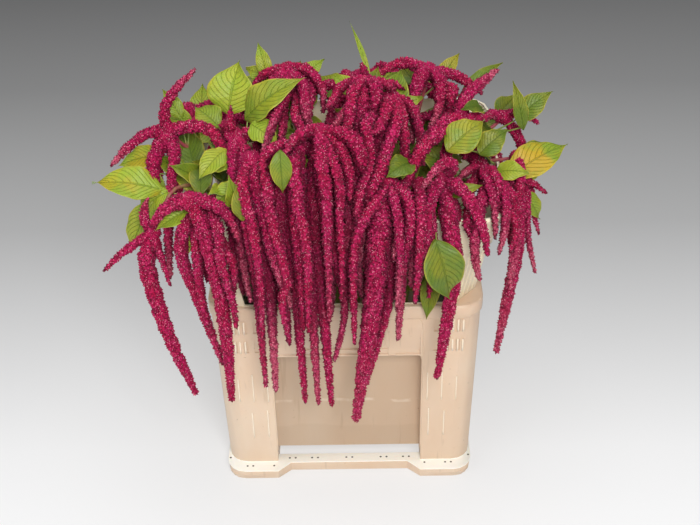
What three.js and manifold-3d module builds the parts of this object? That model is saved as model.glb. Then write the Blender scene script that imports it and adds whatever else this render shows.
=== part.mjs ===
// Cut love-lies-bleeding stems standing in a plastic flower container with a collar.
// Units are millimetres, +Z is up, +X is the viewer's right and the front faces -Y.
import * as THREE from 'three';
import * as BufferGeometryUtils from 'three/addons/utils/BufferGeometryUtils.js';
import Module from 'manifold-3d';

const wasm = await Module();
wasm.setup();

// Driving dimensions of the container
const GAP = 0.3;
const RING_HALF_X = 195;
const RING_HALF_Y = 146;
const RING_TOP = 21;
const RING_UNDER = 4;
const RING_STEP_Y = 20;
const RING_STEP_X = 4;
const FOOT_INNER_X = 113;
const FOOT_INNER_Y = 74;
const FOOT_SLANT = 20;
const BODY_BASE = [192.5, 124];
const BODY_TOP = [199.5, 149];
const BODY_TOP_Z = 326;
const CORNER_RADIUS = 30;
const WALL = 3;
const FLOOR_UNDER = 42;
const FLOOR_TOP = 46;
const RECESS_HALF_X = 114;
const RECESS_TOP = 250;
const RECESS_PANEL_Y = 110;
const SIDE_RECESS_HALF_Y = 64;
const SIDE_RECESS_X = 179;
const RIM_HALF = [202, 153.5];
const RIM_TOP = 347;
const LEDGE_TOP = 331;
const WATER_TOP = 165;
const HOLE_MARGIN = 2.6;

// Driving dimensions of the collar: half sizes at each height, chamfered below, rounded on top
const COLLAR_WALL = 3.2;
const COLLAR_BASE = LEDGE_TOP + GAP;
const COLLAR_BAND = 440;
const COLLAR_TOP = 512;
const COLLAR_CHAMFER = [34, 40];
const COLLAR_SECTIONS = [
  { z: COLLAR_BASE, x: 189.8, y: 143.8, arc: 0 },
  { z: RIM_TOP, x: 191.5, y: 145.5, arc: 0 },
  { z: COLLAR_BAND - 1, x: 207, y: 161, arc: 0 },
  { z: COLLAR_BAND, x: 211, y: 165, arc: 0.3 },
  { z: COLLAR_BAND + 6, x: 211, y: 165, arc: 0.5 },
  { z: COLLAR_TOP - 14, x: 224, y: 177, arc: 1 },
  { z: COLLAR_TOP - 4, x: 228, y: 181, arc: 1 },
  { z: COLLAR_TOP, x: 226, y: 179, arc: 1 },
];
const WINDOW_HALF_X = 146;
const WINDOW_HALF_Y = 88;
const WINDOW_BOTTOM = RIM_TOP + 1.5;
const WINDOW_TOP = COLLAR_BAND - 4;

// Driving dimensions of the plants
const STEM_RADIUS = 3.6;
const PETIOLE_RADIUS = 1.3;
const LEAF_THICKNESS = 0.8;
const CLEARANCE = 0.35;
const TASSEL_SIDES = 5;
const FLORET_RELIEF = 0.18;
const RING_PITCH = 2.8;
const TASSEL_TIP = 0.5;
const KNOT_REACH = 0.78;
const NECK_HEIGHT = 500;
const WAIST_HEIGHT = 262;
const WAIST_SCALE = 0.7;
const FOOT_SCALE = 0.6;
const BEAD_SPACING = 10;
const SETTLE_ROUNDS = 160;
const LEAF_FACING = new THREE.Vector3(0, -0.6, 0.8);
const LEAF_ARCH = 0.08;
const LEAF_WAVE = 0.05;
const LEAF_CUP = 0.22;
// Small turns about the vertical and lifts, in radians, that a leaf tries to lie clear
const LEAF_TURNS = [
  [0, 0], [0.2, 0], [-0.2, 0], [0, 0.2], [0, -0.2], [0.2, 0.2], [-0.2, 0.2],
  [0.4, 0], [-0.4, 0], [0.4, 0.3], [-0.4, 0.3], [0, 0.45], [0, -0.45],
];

function toManifold(geometry) {
  const plain = geometry.clone();
  plain.deleteAttribute('normal');
  plain.deleteAttribute('uv');
  const merged = BufferGeometryUtils.mergeVertices(plain, 1e-4);
  const mesh = new wasm.Mesh({
    numProp: 3,
    vertProperties: new Float32Array(merged.attributes.position.array),
    triVerts: new Uint32Array(merged.index.array),
  });
  return new wasm.Manifold(mesh);
}

function toGeometry(solid) {
  const mesh = solid.getMesh();
  const geometry = new THREE.BufferGeometry();
  const stride = mesh.numProp;
  const position = new Float32Array(mesh.numVert * 3);
  for (let i = 0; i < mesh.numVert; i++) {
    for (let k = 0; k < 3; k++) position[i * 3 + k] = mesh.vertProperties[i * stride + k];
  }
  geometry.setAttribute('position', new THREE.BufferAttribute(position, 3));
  geometry.setIndex(Array.from(mesh.triVerts));
  geometry.computeVertexNormals();
  return geometry;
}

function largestBody(solid) {
  const bodies = solid.decompose();
  bodies.sort((a, b) => b.volume() - a.volume());
  return bodies[0];
}

function unite(solids) {
  return solids.reduce((all, next) => all.add(next));
}

// A closed solid through outlines of equal point count, each a list of [x, y, z]
function loft(given) {
  const flat = (outline) => outline.map(([x, y]) => new THREE.Vector2(x, y));
  const turned = THREE.ShapeUtils.area(flat(given[0])) < 0;
  const outlines = turned ? given.map((outline) => [...outline].reverse()) : given;
  const count = outlines[0].length;
  const position = outlines.flat(2);
  const index = [];
  for (let s = 0; s + 1 < outlines.length; s++) {
    for (let i = 0; i < count; i++) {
      const a = s * count + i;
      const b = s * count + ((i + 1) % count);
      index.push(a, b, b + count, a, b + count, a + count);
    }
  }
  const last = (outlines.length - 1) * count;
  for (const [a, b, c] of THREE.ShapeUtils.triangulateShape(flat(outlines[0]), [])) {
    index.push(a, c, b);
  }
  for (const [a, b, c] of THREE.ShapeUtils.triangulateShape(flat(outlines.at(-1)), [])) {
    index.push(last + a, last + b, last + c);
  }
  const geometry = new THREE.BufferGeometry();
  geometry.setAttribute('position', new THREE.Float32BufferAttribute(position, 3));
  geometry.setIndex(index);
  return geometry;
}

function roundedOutline(halfX, halfY, radius, z, steps = 4) {
  const points = [];
  const corners = [[1, -1, -90], [1, 1, 0], [-1, 1, 90], [-1, -1, 180]];
  for (const [sx, sy, start] of corners) {
    for (let i = 0; i <= steps; i++) {
      const angle = THREE.MathUtils.degToRad(start + (90 * i) / steps);
      const x = sx * (halfX - radius) + radius * Math.cos(angle);
      const y = sy * (halfY - radius) + radius * Math.sin(angle);
      points.push([x, y, z]);
    }
  }
  return points;
}

// Corners run from a straight chamfer (arc 0) to a round one (arc 1)
function collarOutline({ z, x, y, arc }, inset = 0, steps = 3) {
  const halfX = x - inset;
  const halfY = y - inset;
  const chamfer = [COLLAR_CHAMFER[0] - inset * 0.45, COLLAR_CHAMFER[1] - inset * 0.45];
  const points = [];
  const corners = [[1, -1, -90], [1, 1, 0], [-1, 1, 90], [-1, -1, 180]];
  for (const [sx, sy, start] of corners) {
    const first = sx * sy < 0
      ? [sx * (halfX - chamfer[0]), sy * halfY]
      : [sx * halfX, sy * (halfY - chamfer[1])];
    const final = sx * sy < 0
      ? [sx * halfX, sy * (halfY - chamfer[1])]
      : [sx * (halfX - chamfer[0]), sy * halfY];
    for (let i = 0; i <= steps; i++) {
      const t = i / steps;
      const angle = THREE.MathUtils.degToRad(start + 90 * t);
      const roundX = sx * (halfX - chamfer[0]) + chamfer[0] * Math.cos(angle);
      const roundY = sy * (halfY - chamfer[1]) + chamfer[1] * Math.sin(angle);
      const flatX = THREE.MathUtils.lerp(first[0], final[0], t);
      const flatY = THREE.MathUtils.lerp(first[1], final[1], t);
      points.push([
        THREE.MathUtils.lerp(flatX, roundX, arc),
        THREE.MathUtils.lerp(flatY, roundY, arc),
        z,
      ]);
    }
  }
  return points;
}

function box(x0, x1, y0, y1, z0, z1) {
  const geometry = new THREE.BoxGeometry(x1 - x0, y1 - y0, z1 - z0);
  geometry.translate((x0 + x1) / 2, (y0 + y1) / 2, (z0 + z1) / 2);
  return toManifold(geometry);
}

// Ring outline: its four corner feet stand out past the straight runs between them
function ringOutline(z, inset) {
  const hx = RING_HALF_X - inset;
  const hy = RING_HALF_Y - inset;
  const runY = RING_HALF_Y - RING_STEP_Y;
  const runX = RING_HALF_X - RING_STEP_X;
  const quarter = [[runX, -FOOT_INNER_Y + FOOT_SLANT], [hx, -FOOT_INNER_Y]];
  const round = CORNER_RADIUS - inset;
  const corner = [];
  for (let i = 0; i <= 4; i++) {
    const angle = (Math.PI / 2) * (i / 4);
    corner.push([hx - round + round * Math.cos(angle), -hy + round - round * Math.sin(angle)]);
  }
  const lead = [[FOOT_INNER_X, -hy], [FOOT_INNER_X - FOOT_SLANT, -runY]];
  const frontRight = [...quarter, ...corner, ...lead].reverse();
  const turns = [
    frontRight,
    frontRight.map(([x, y]) => [x, -y]).reverse(),
    frontRight.map(([x, y]) => [-x, -y]),
    frontRight.map(([x, y]) => [-x, y]).reverse(),
  ];
  return turns.flat().map(([x, y]) => [x, y, z]);
}

function makeRing() {
  const slab = toManifold(loft([ringOutline(RING_UNDER, 2), ringOutline(RING_TOP, 0)]));
  const feet = [];
  for (const sx of [-1, 1]) {
    for (const sy of [-1, 1]) {
      const low = roundedOutline(34, 27, 16, 0, 3);
      const high = roundedOutline(40, 33, 24, RING_UNDER + 8, 3);
      const foot = toManifold(loft([low, high]));
      feet.push(foot.translate([sx * 153, sy * 112, 0]));
    }
  }
  const opening = box(-FOOT_INNER_X - 1, FOOT_INNER_X + 1, -107, 107, -1, RING_TOP + 1);
  const sideOpening = box(-176, 176, -SIDE_RECESS_HALF_Y, SIDE_RECESS_HALF_Y, -1, RING_TOP + 1);
  return unite([slab, ...feet]).subtract(opening).subtract(sideOpening);
}

// The recesses between the corner pillars, grown by the wall for the inside
function recesses(growth) {
  const low = RING_TOP;
  const high = RECESS_TOP + growth;
  const x = RECESS_HALF_X + growth;
  const y = RECESS_PANEL_Y - growth;
  const sideX = SIDE_RECESS_X - growth;
  const sideY = SIDE_RECESS_HALF_Y + growth;
  return unite([
    box(-x, x, -260, -y, low, high),
    box(-x, x, y, 260, low, high),
    box(-300, -sideX, -sideY, sideY, low, high),
    box(sideX, 300, -sideY, sideY, low, high),
  ]);
}

function insideShape(inset, bottom, top) {
  const at = (z) => {
    const t = (z - RING_TOP) / (BODY_TOP_Z - RING_TOP);
    const hx = THREE.MathUtils.lerp(BODY_BASE[0], BODY_TOP[0], t) - WALL - inset;
    const hy = THREE.MathUtils.lerp(BODY_BASE[1], BODY_TOP[1], t) - WALL - inset;
    return roundedOutline(hx, hy, CORNER_RADIUS - WALL - inset, z);
  };
  return toManifold(loft([at(bottom), at(top)])).subtract(recesses(WALL + inset));
}

// Short moulded flutes in the pillars' front and back faces
function pillarGrooves() {
  const cuts = [];
  const faceY = (z) => {
    const t = (z - RING_TOP) / (BODY_TOP_Z - RING_TOP);
    return THREE.MathUtils.lerp(BODY_BASE[1], BODY_TOP[1], t);
  };
  const groove = (x, z0, z1, width, depth) => {
    for (const side of [-1, 1]) {
      const y0 = side * (faceY(z0) - depth);
      const y1 = side * (faceY(z1) - depth);
      const far = side * 6;
      const profile = (y, z) => {
        const span = [[x - width / 2, y, z], [x + width / 2, y, z]];
        const out = [[x + width / 2, y + far, z], [x - width / 2, y + far, z]];
        return [...span, ...out];
      };
      cuts.push(toManifold(loft([profile(y0, z0), profile(y1, z1)])));
    }
  };
  for (const sign of [-1, 1]) {
    for (let i = 0; i < 3; i++) {
      groove(sign * (133 + 16 * i), 297, 320, 7, 1.4);
      groove(sign * (133 + 16 * i), 259, 282, 7, 1.4);
    }
  }
  return cuts;
}

// Raised beads on the front and back walls: lip of the recess, label field and label holder
function wallBeads() {
  const beads = [];
  const bead = (x0, x1, z0, z1) => {
    for (const side of [-1, 1]) {
      const t = ((z0 + z1) / 2 - RING_TOP) / (BODY_TOP_Z - RING_TOP);
      const face = THREE.MathUtils.lerp(BODY_BASE[1], BODY_TOP[1], t);
      const y = [side * (face - 2), side * (face + 1.6)].sort((a, b) => a - b);
      beads.push(box(x0, x1, y[0], y[1], z0, z1));
    }
  };
  bead(-112, 62, 251, 254);
  bead(74, 112, 251, 254);
  bead(110, 112.8, 252, 320);
  bead(-62, 62, 262, 264.5);
  return beads;
}

function makeContainer() {
  const outer = loft([
    roundedOutline(BODY_BASE[0], BODY_BASE[1], CORNER_RADIUS, RING_TOP - 1),
    roundedOutline(BODY_TOP[0], BODY_TOP[1], CORNER_RADIUS, BODY_TOP_Z),
  ]);
  const underFloor = unite([
    box(-FOOT_INNER_X - 1, FOOT_INNER_X + 1, -111, 111, RING_TOP - 2, FLOOR_UNDER),
    box(-180, 180, -SIDE_RECESS_HALF_Y, SIDE_RECESS_HALF_Y, RING_TOP - 2, FLOOR_UNDER),
  ]);
  const rim = toManifold(loft([
    roundedOutline(RIM_HALF[0] - 1.5, RIM_HALF[1] - 1.5, CORNER_RADIUS + 2, BODY_TOP_Z - 1),
    roundedOutline(RIM_HALF[0], RIM_HALF[1], CORNER_RADIUS + 3, BODY_TOP_Z + 2),
    roundedOutline(RIM_HALF[0], RIM_HALF[1], CORNER_RADIUS + 3, RIM_TOP - 2.5),
    roundedOutline(RIM_HALF[0] - 2, RIM_HALF[1] - 2, CORNER_RADIUS + 2, RIM_TOP),
  ]));
  const seatOutline = (z, inset) => collarOutline({ z, x: 190.1, y: 144.1, arc: 0 }, inset);
  const seat = toManifold(loft([
    seatOutline(LEDGE_TOP, 0),
    collarOutline({ z: RIM_TOP + 1, x: 191.9, y: 145.9, arc: 0 }),
  ]));
  const mouth = toManifold(loft([seatOutline(BODY_TOP_Z - 2, 8), seatOutline(LEDGE_TOP + 1, 8)]));
  let solid = toManifold(outer).subtract(recesses(0));
  solid = solid.subtract(underFloor);
  solid = solid.subtract(insideShape(0, FLOOR_TOP, BODY_TOP_Z - 1.5));
  solid = solid.subtract(toManifold(loft([
    seatOutline(BODY_TOP_Z - 3, 8), seatOutline(BODY_TOP_Z + 1, 8),
  ])));
  solid = solid.add(unite(wallBeads()));
  solid = solid.subtract(unite(pillarGrooves()));
  solid = solid.add(makeRing()).add(rim.subtract(seat).subtract(mouth));
  return largestBody(solid);
}

function collarRibs() {
  const ribs = [];
  const low = COLLAR_SECTIONS[1];
  const high = COLLAR_SECTIONS[2];
  for (const sx of [-1, 1]) {
    for (const sy of [-1, 1]) {
      for (let i = 0; i < 4; i++) {
        const t = 0.17 + 0.22 * i;
        const at = ({ x, y, z }) => {
          const px = x - COLLAR_CHAMFER[0] * t;
          const py = y - COLLAR_CHAMFER[1] * (1 - t);
          const run = new THREE.Vector2(-COLLAR_CHAMFER[0], COLLAR_CHAMFER[1]).normalize();
          const out = new THREE.Vector2(run.y, -run.x);
          const corner = (a, b) => [
            sx * (px + run.x * a + out.x * b), sy * (py + run.y * a + out.y * b), z,
          ];
          return [corner(-1.3, -1.5), corner(-1.3, 1.1), corner(1.3, 1.1), corner(1.3, -1.5)];
        };
        ribs.push(toManifold(loft([at({ ...low, z: low.z + 1.5 }), at(high)])));
      }
    }
  }
  return ribs;
}

function makeCollar(grow = 0) {
  const first = { ...COLLAR_SECTIONS[0], z: COLLAR_BASE - grow };
  const last = { ...COLLAR_SECTIONS.at(-1), z: COLLAR_TOP + grow };
  const sections = [first, ...COLLAR_SECTIONS.slice(1, -1), last];
  const shell = toManifold(loft(sections.map((section) => collarOutline(section, -grow))));
  const inset = COLLAR_WALL + grow;
  const cap = collarOutline({ ...last, z: last.z + 1 }, inset);
  const sill = collarOutline({ ...first, z: first.z - 1 }, inset);
  const bore = sections.map((section) => collarOutline(section, inset));
  let solid = shell.subtract(toManifold(loft([sill, ...bore, cap])));
  const y = WINDOW_HALF_Y - grow;
  const side = (z) => [[-260, -y, z], [260, -y, z], [260, y, z], [-260, y, z]];
  const front = (z, x) => [[-x, -220, z], [x, -220, z], [x, 220, z], [-x, 220, z]];
  solid = solid.subtract(toManifold(loft([side(WINDOW_BOTTOM + grow), side(WINDOW_TOP - grow)])));
  solid = solid.subtract(toManifold(loft([
    front(WINDOW_BOTTOM + grow, WINDOW_HALF_X - grow),
    front(WINDOW_TOP - grow, WINDOW_HALF_X + 12 - grow),
  ])));
  return largestBody(solid.add(unite(collarRibs())));
}

// Each plant: where its stem passes the collar's mouth, where its flower head sits, then
// its tassels (radius, then points along it) and its leaves (base, tip, width).
const PLANTS = [
  {
    neck: [-178, -40], head: [-244, -60, 590], knot: 16,
    tassels: [
      [8, [-246, -62, 625], [-226, -62, 658], [-200, -60, 684]],
      [8.5, [-268, -72, 596], [-295, -82, 582], [-322, -90, 556]],
      [11, [-264, -92, 560], [-264, -108, 530], [-258, -112, 484]],
      [9, [-232, -95, 575], [-238, -114, 540], [-240, -120, 495]],
      [9, [-215, -75, 606], [-180, -85, 608], [-152, -112, 575], [-150, -142, 532]],
    ],
    leaves: [
      [[-226, -38, 598], [-252, -18, 636], 24], [[-212, -34, 596], [-262, -18, 584], 32],
      [[-252, -72, 560], [-314, -100, 548], 36], [[-262, -82, 540], [-282, -124, 488], 32],
    ],
  },
  {
    neck: [-176, -120], head: [-205, -180, 550], knot: 14,
    tassels: [
      [10, [-232, -188, 548], [-258, -192, 520]],
      [10, [-180, -192, 556], [-150, -204, 540], [-138, -210, 505]],
      [12, [-190, -200, 520], [-174, -210, 440], [-168, -214, 340], [-168, -216, 233]],
    ],
    leaves: [
      [[-214, -178, 515], [-220, -198, 462], 26], [[-185, -160, 545], [-198, -190, 500], 28],
      [[-205, -170, 530], [-238, -205, 500], 30],
    ],
  },
  {
    neck: [-180, -82], over: [-232, -125, 536], head: [-262, -165, 492], knot: 11,
    tassels: [
      [12, [-272, -185, 460], [-262, -202, 400], [-245, -212, 330], [-220, -216, 247]],
      [6.5, [-285, -178, 482], [-308, -186, 468], [-331, -190, 446]],
      [5.5, [-252, -188, 470], [-240, -205, 430]],
      [8, [-274, -160, 512], [-268, -152, 535]],
    ],
    leaves: [
      [[-250, -118, 530], [-345, -100, 552], 50], [[-262, -130, 520], [-304, -150, 448], 42],
      [[-240, -120, 530], [-290, -125, 500], 34],
    ],
  },
  {
    neck: [-145, -128], head: [-172, -158, 536], knot: 12,
    tassels: [
      [10, [-205, -182, 532], [-222, -192, 480], [-205, -196, 400], [-178, -204, 290]],
      [9, [-190, -182, 520], [-200, -200, 440], [-194, -206, 360]],
    ],
    leaves: [[[-160, -150, 540], [-175, -190, 560], 30]],
  },
  {
    neck: [-115, -75], head: [-150, -88, 598], knot: 13,
    tassels: [
      [6, [-152, -92, 622], [-150, -92, 644]],
      [9, [-148, -130, 585], [-142, -185, 540], [-135, -202, 470], [-125, -208, 405]],
      [10, [-128, -125, 590], [-128, -180, 555], [-114, -200, 460], [-104, -210, 370],
        [-103, -213, 247]],
    ],
    leaves: [
      [[-160, -42, 606], [-144, -14, 676], 70], [[-136, -52, 602], [-44, -62, 664], 50],
      [[-126, -78, 610], [-86, -112, 608], 38], [[-146, -112, 580], [-192, -132, 570], 36],
      [[-160, -110, 588], [-184, -152, 558], 34], [[-172, -60, 596], [-206, -40, 622], 40],
    ],
  },
  {
    neck: [-100, -122], head: [-121, -158, 600], knot: 13,
    tassels: [
      [12, [-112, -190, 575], [-98, -205, 510], [-84, -212, 450], [-72, -214, 402]],
      [8, [-128, -185, 570], [-120, -200, 470], [-120, -206, 380], [-117, -210, 252]],
    ],
    leaves: [
      [[-82, -150, 608], [-78, -190, 560], 30], [[-140, -172, 520], [-142, -176, 590], 32],
      [[-112, -172, 548], [-98, -202, 486], 26], [[-140, -160, 560], [-172, -182, 548], 34],
    ],
  },
  {
    neck: [-60, -10], head: [-75, 5, 650], knot: 13,
    tassels: [
      [8, [-105, 0, 650], [-125, -5, 632]],
      [8, [-50, -15, 662], [-28, -40, 645], [-25, -62, 620]],
      [9, [-75, -50, 645], [-92, -95, 622], [-108, -128, 590]],
      [9, [-55, -40, 650], [-48, -90, 632], [-40, -110, 600]],
    ],
    leaves: [
      [[-58, 22, 625], [-26, 42, 652], 24], [[-106, 16, 632], [-118, 34, 680], 22],
      [[-95, 15, 626], [-138, 34, 642], 30],
    ],
  },
  {
    neck: [-50, -110], head: [-57, -145, 610], knot: 14,
    tassels: [
      [13, [-58, -178, 590], [-56, -198, 530], [-54, -208, 450], [-58, -214, 362]],
      [10, [-80, -172, 590], [-86, -196, 520], [-84, -206, 430], [-80, -208, 338]],
      [9, [-68, -176, 560], [-70, -200, 470], [-66, -208, 375], [-61, -211, 222]],
      [8, [-75, -160, 622], [-100, -180, 620], [-105, -195, 590]],
    ],
    leaves: [[[-52, -135, 585], [-30, -170, 560], 26]],
  },
  {
    neck: [-18, -95], head: [-30, -136, 628], knot: 13,
    tassels: [
      [12, [-28, -172, 605], [-22, -198, 545], [-12, -208, 480], [-2, -212, 416]],
      [10, [-38, -168, 590], [-36, -196, 500], [-30, -204, 380], [-23, -212, 218]],
      [9, [-44, -176, 565], [-50, -200, 470], [-46, -208, 361], [-42, -211, 219]],
      [8, [-16, -172, 590], [-4, -196, 500], [-1, -206, 373], [-16, -209, 297]],
      [9, [-10, -160, 628], [8, -185, 605], [10, -200, 560]],
    ],
    leaves: [[[-20, -110, 600], [0, -150, 585], 28]],
  },
  {
    neck: [25, -50], head: [33, -48, 654], knot: 15,
    tassels: [
      [14, [30, -85, 650], [22, -135, 610], [10, -180, 555], [-2, -204, 490]],
      [8, [5, -60, 660], [-12, -92, 648], [-18, -118, 655]],
      [7, [32, -44, 668], [29, -42, 680]],
      [9, [10, -95, 640], [-8, -140, 640]],
    ],
    leaves: [[[46, -18, 628], [13, 44, 710], 8], [[20, -30, 625], [-12, -8, 652], 26]],
  },
  {
    neck: [50, -80], head: [68, -74, 642], knot: 14,
    tassels: [
      [13, [64, -110, 628], [52, -158, 580], [38, -198, 520], [26, -212, 470]],
      [9, [78, -95, 640], [86, -130, 600], [84, -150, 560]],
      [8, [92, -82, 640], [108, -110, 610], [110, -132, 575]],
    ],
    leaves: [[[75, -60, 615], [110, -60, 640], 24]],
  },
  {
    neck: [130, -50], head: [165, -60, 600], knot: 14,
    tassels: [
      [12, [140, -96, 612], [108, -130, 602], [78, -165, 572], [52, -200, 532]],
      [10, [172, -30, 618], [196, 0, 626], [222, 30, 632]],
      [9, [150, -85, 585], [140, -120, 560], [128, -150, 570]],
      [8, [185, -50, 600], [205, -30, 588]],
    ],
    leaves: [
      [[196, -40, 608], [168, -76, 630], 22], [[142, -128, 590], [194, -102, 626], 50],
      [[188, -110, 574], [226, -96, 606], 36],
    ],
  },
  {
    neck: [95, 15], head: [125, 22, 636], knot: 13,
    tassels: [
      [9, [85, 12, 656], [52, -6, 646]],
      [9, [165, 20, 630], [200, 20, 602]],
      [10, [108, -20, 645], [100, -62, 620], [98, -95, 590]],
      [9, [138, -15, 640], [136, -45, 615], [122, -70, 590]],
    ],
    leaves: [
      [[142, 40, 610], [168, 54, 650], 24], [[172, 20, 600], [241, 26, 640], 20],
      [[105, 45, 604], [88, 78, 620], 34],
    ],
  },
  {
    neck: [175, 20], head: [238, 38, 552], knot: 11,
    tassels: [
      [7, [262, 46, 556], [292, 60, 530]],
      [8, [215, 15, 570], [205, -12, 575]],
      [8, [258, 20, 530], [272, 0, 480], [274, -5, 420]],
    ],
    leaves: [
      [[262, -2, 552], [246, 4, 626], 22], [[252, 12, 560], [302, 22, 604], 36],
      [[230, 60, 540], [262, 95, 560], 34],
    ],
  },
  {
    neck: [170, -65], head: [208, -84, 528], knot: 12,
    tassels: [
      [6.5, [245, -76, 520], [270, -68, 502], [292, -62, 482]],
      [10, [200, -120, 530], [188, -160, 510], [180, -196, 470], [186, -200, 430]],
      [11, [236, -108, 510], [244, -135, 430], [232, -152, 345], [222, -156, 268]],
      [9, [222, -125, 515], [234, -165, 470], [232, -180, 400]],
      [8, [180, -105, 548], [160, -135, 552]],
      [8, [218, -118, 530], [222, -148, 526], [220, -178, 500], [214, -186, 462]],
    ],
    leaves: [
      [[232, -84, 520], [322, -44, 560], 52], [[240, -50, 508], [292, -28, 500], 36],
      [[256, -66, 488], [290, -64, 436], 28], [[215, -100, 540], [250, -130, 545], 30],
    ],
  },
  {
    neck: [178, -22], head: [250, -34, 526], knot: 10,
    tassels: [
      [6, [268, -44, 492], [278, -58, 442], [286, -62, 412]],
      [6, [262, -60, 500], [266, -92, 430], [280, -90, 362]],
      [7, [255, -58, 500], [256, -88, 460], [258, -100, 410]],
      [8, [246, -75, 535], [240, -118, 524], [230, -150, 490], [228, -160, 462]],
    ],
    leaves: [[[262, -20, 515], [300, -5, 535], 30]],
  },
  {
    neck: [110, -118], head: [137, -152, 560], knot: 13,
    tassels: [
      [12, [142, -188, 520], [152, -206, 460], [144, -212, 380], [131, -216, 270]],
      [9, [120, -186, 560], [112, -204, 510], [100, -210, 432]],
      [9, [160, -180, 560], [182, -196, 520], [196, -200, 470]],
      [8, [150, -160, 588], [128, -182, 600], [108, -200, 578]],
    ],
    leaves: [
      [[146, -160, 538], [188, -158, 556], 18], [[124, -214, 504], [150, -227, 414], 58],
      [[126, -138, 398], [116, -180, 345], 28], [[134, -112, 380], [85, -118, 352], 30],
    ],
  },
  {
    neck: [45, -120], head: [60, -168, 568], knot: 15,
    tassels: [
      [16, [50, -200, 530], [44, -214, 450], [32, -218, 340], [13, -218, 195]],
      [9, [66, -196, 520], [64, -202, 420], [48, -200, 330], [28, -198, 242]],
      [9, [84, -190, 560], [84, -208, 470], [74, -214, 338]],
    ],
    leaves: [[[92, -150, 586], [62, -190, 594], 34], [[88, -140, 566], [100, -182, 590], 26]],
  },
  {
    neck: [78, -112], head: [104, -160, 556], knot: 12,
    tassels: [
      [10, [98, -190, 530], [94, -206, 480], [88, -212, 430]],
      [8, [116, -188, 530], [120, -204, 470], [116, -212, 410]],
      [8, [92, -185, 535], [66, -205, 510], [56, -216, 480]],
    ],
    leaves: [[[100, -130, 540], [122, -165, 548], 24]],
  },
];

// Plants behind the ones above: stem place and head, with tassels and leaves by rule
const BACK_PLANTS = [
  { neck: [-118, 28], head: [-165, 36, 560] },
  { neck: [-165, 72], head: [-212, 96, 530] },
  { neck: [-72, 98], head: [-92, 140, 560] },
  { neck: [10, 60], head: [12, 104, 570] },
  { neck: [72, 106], head: [92, 158, 556] },
];
const BACK_TASSELS = 2;
const BACK_LEAVES = 2;

function seededRandom(seed) {
  let state = seed >>> 0;
  return () => {
    state = (state + 0x6d2b79f5) >>> 0;
    let t = state;
    t = Math.imul(t ^ (t >>> 15), t | 1);
    t ^= t + Math.imul(t ^ (t >>> 7), t | 61);
    return ((t ^ (t >>> 14)) >>> 0) / 4294967296;
  };
}

function growBackPlant({ neck, head }, random) {
  const out = Math.atan2(head[1] + 20, head[0]);
  const offset = (angle, reach, drop) => [
    head[0] + reach * Math.cos(angle), head[1] + reach * Math.sin(angle), head[2] + drop,
  ];
  const tassels = [];
  for (let i = 0; i < BACK_TASSELS; i++) {
    const angle = out + (i - (BACK_TASSELS - 1) / 2) * 0.62 + (random() - 0.5) * 0.3;
    const long = 110 + 90 * random();
    const radius = 8.5 + 3.5 * random();
    tassels.push([radius, offset(angle, 34, 4), offset(angle, 70, -34),
      offset(angle, 84, -34 - long * 0.45), offset(angle, 88, -34 - long)]);
  }
  const leaves = [];
  for (let i = 0; i < BACK_LEAVES; i++) {
    const angle = out + (i - (BACK_LEAVES - 1) / 2) * 1.1 + (random() - 0.5) * 0.4;
    const lift = 10 + 40 * random();
    leaves.push([offset(angle, 16, -26), offset(angle, 78, lift - 26), 34 + 14 * random()]);
  }
  return { neck, head, knot: 13, tassels, leaves };
}

const vector = (point) => new THREE.Vector3(...point);

// The stem leans inside the container, passes the collar's mouth and bends to its head
function stemCurve(plant) {
  const [nx, ny] = plant.neck;
  const head = vector(plant.head);
  const before = plant.over ? vector(plant.over) : new THREE.Vector3(nx, ny, NECK_HEIGHT);
  const arrival = before.clone().sub(head).normalize();
  const end = head.clone().addScaledVector(arrival, plant.knot * KNOT_REACH + CLEARANCE);
  const points = [
    new THREE.Vector3(nx * FOOT_SCALE, ny * FOOT_SCALE, FLOOR_TOP + 3 * GAP),
    new THREE.Vector3(nx * WAIST_SCALE, ny * WAIST_SCALE, WAIST_HEIGHT),
    new THREE.Vector3(nx, ny, NECK_HEIGHT),
  ];
  if (plant.over) points.push(before);
  points.push(end);
  return new THREE.CatmullRomCurve3(points, false, 'centripetal');
}

function sampleCurve(curve, spacing) {
  const count = Math.max(3, Math.round(curve.getLength() / spacing));
  return curve.getSpacedPoints(count);
}

function tasselRadius(radius, share) {
  if (share < 0.14) return radius * THREE.MathUtils.lerp(0.62, 1, share / 0.14);
  return radius * THREE.MathUtils.lerp(1, TASSEL_TIP, (share - 0.14) / 0.86);
}

// Half sizes of the collar or container's outside at a height
function outsideAt(z) {
  if (z < COLLAR_BASE) return [RIM_HALF[0], RIM_HALF[1]];
  const high = COLLAR_SECTIONS.find((section) => section.z >= z) ?? COLLAR_SECTIONS.at(-1);
  return [Math.max(high.x, RIM_HALF[0]), Math.max(high.y, RIM_HALF[1])];
}

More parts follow.
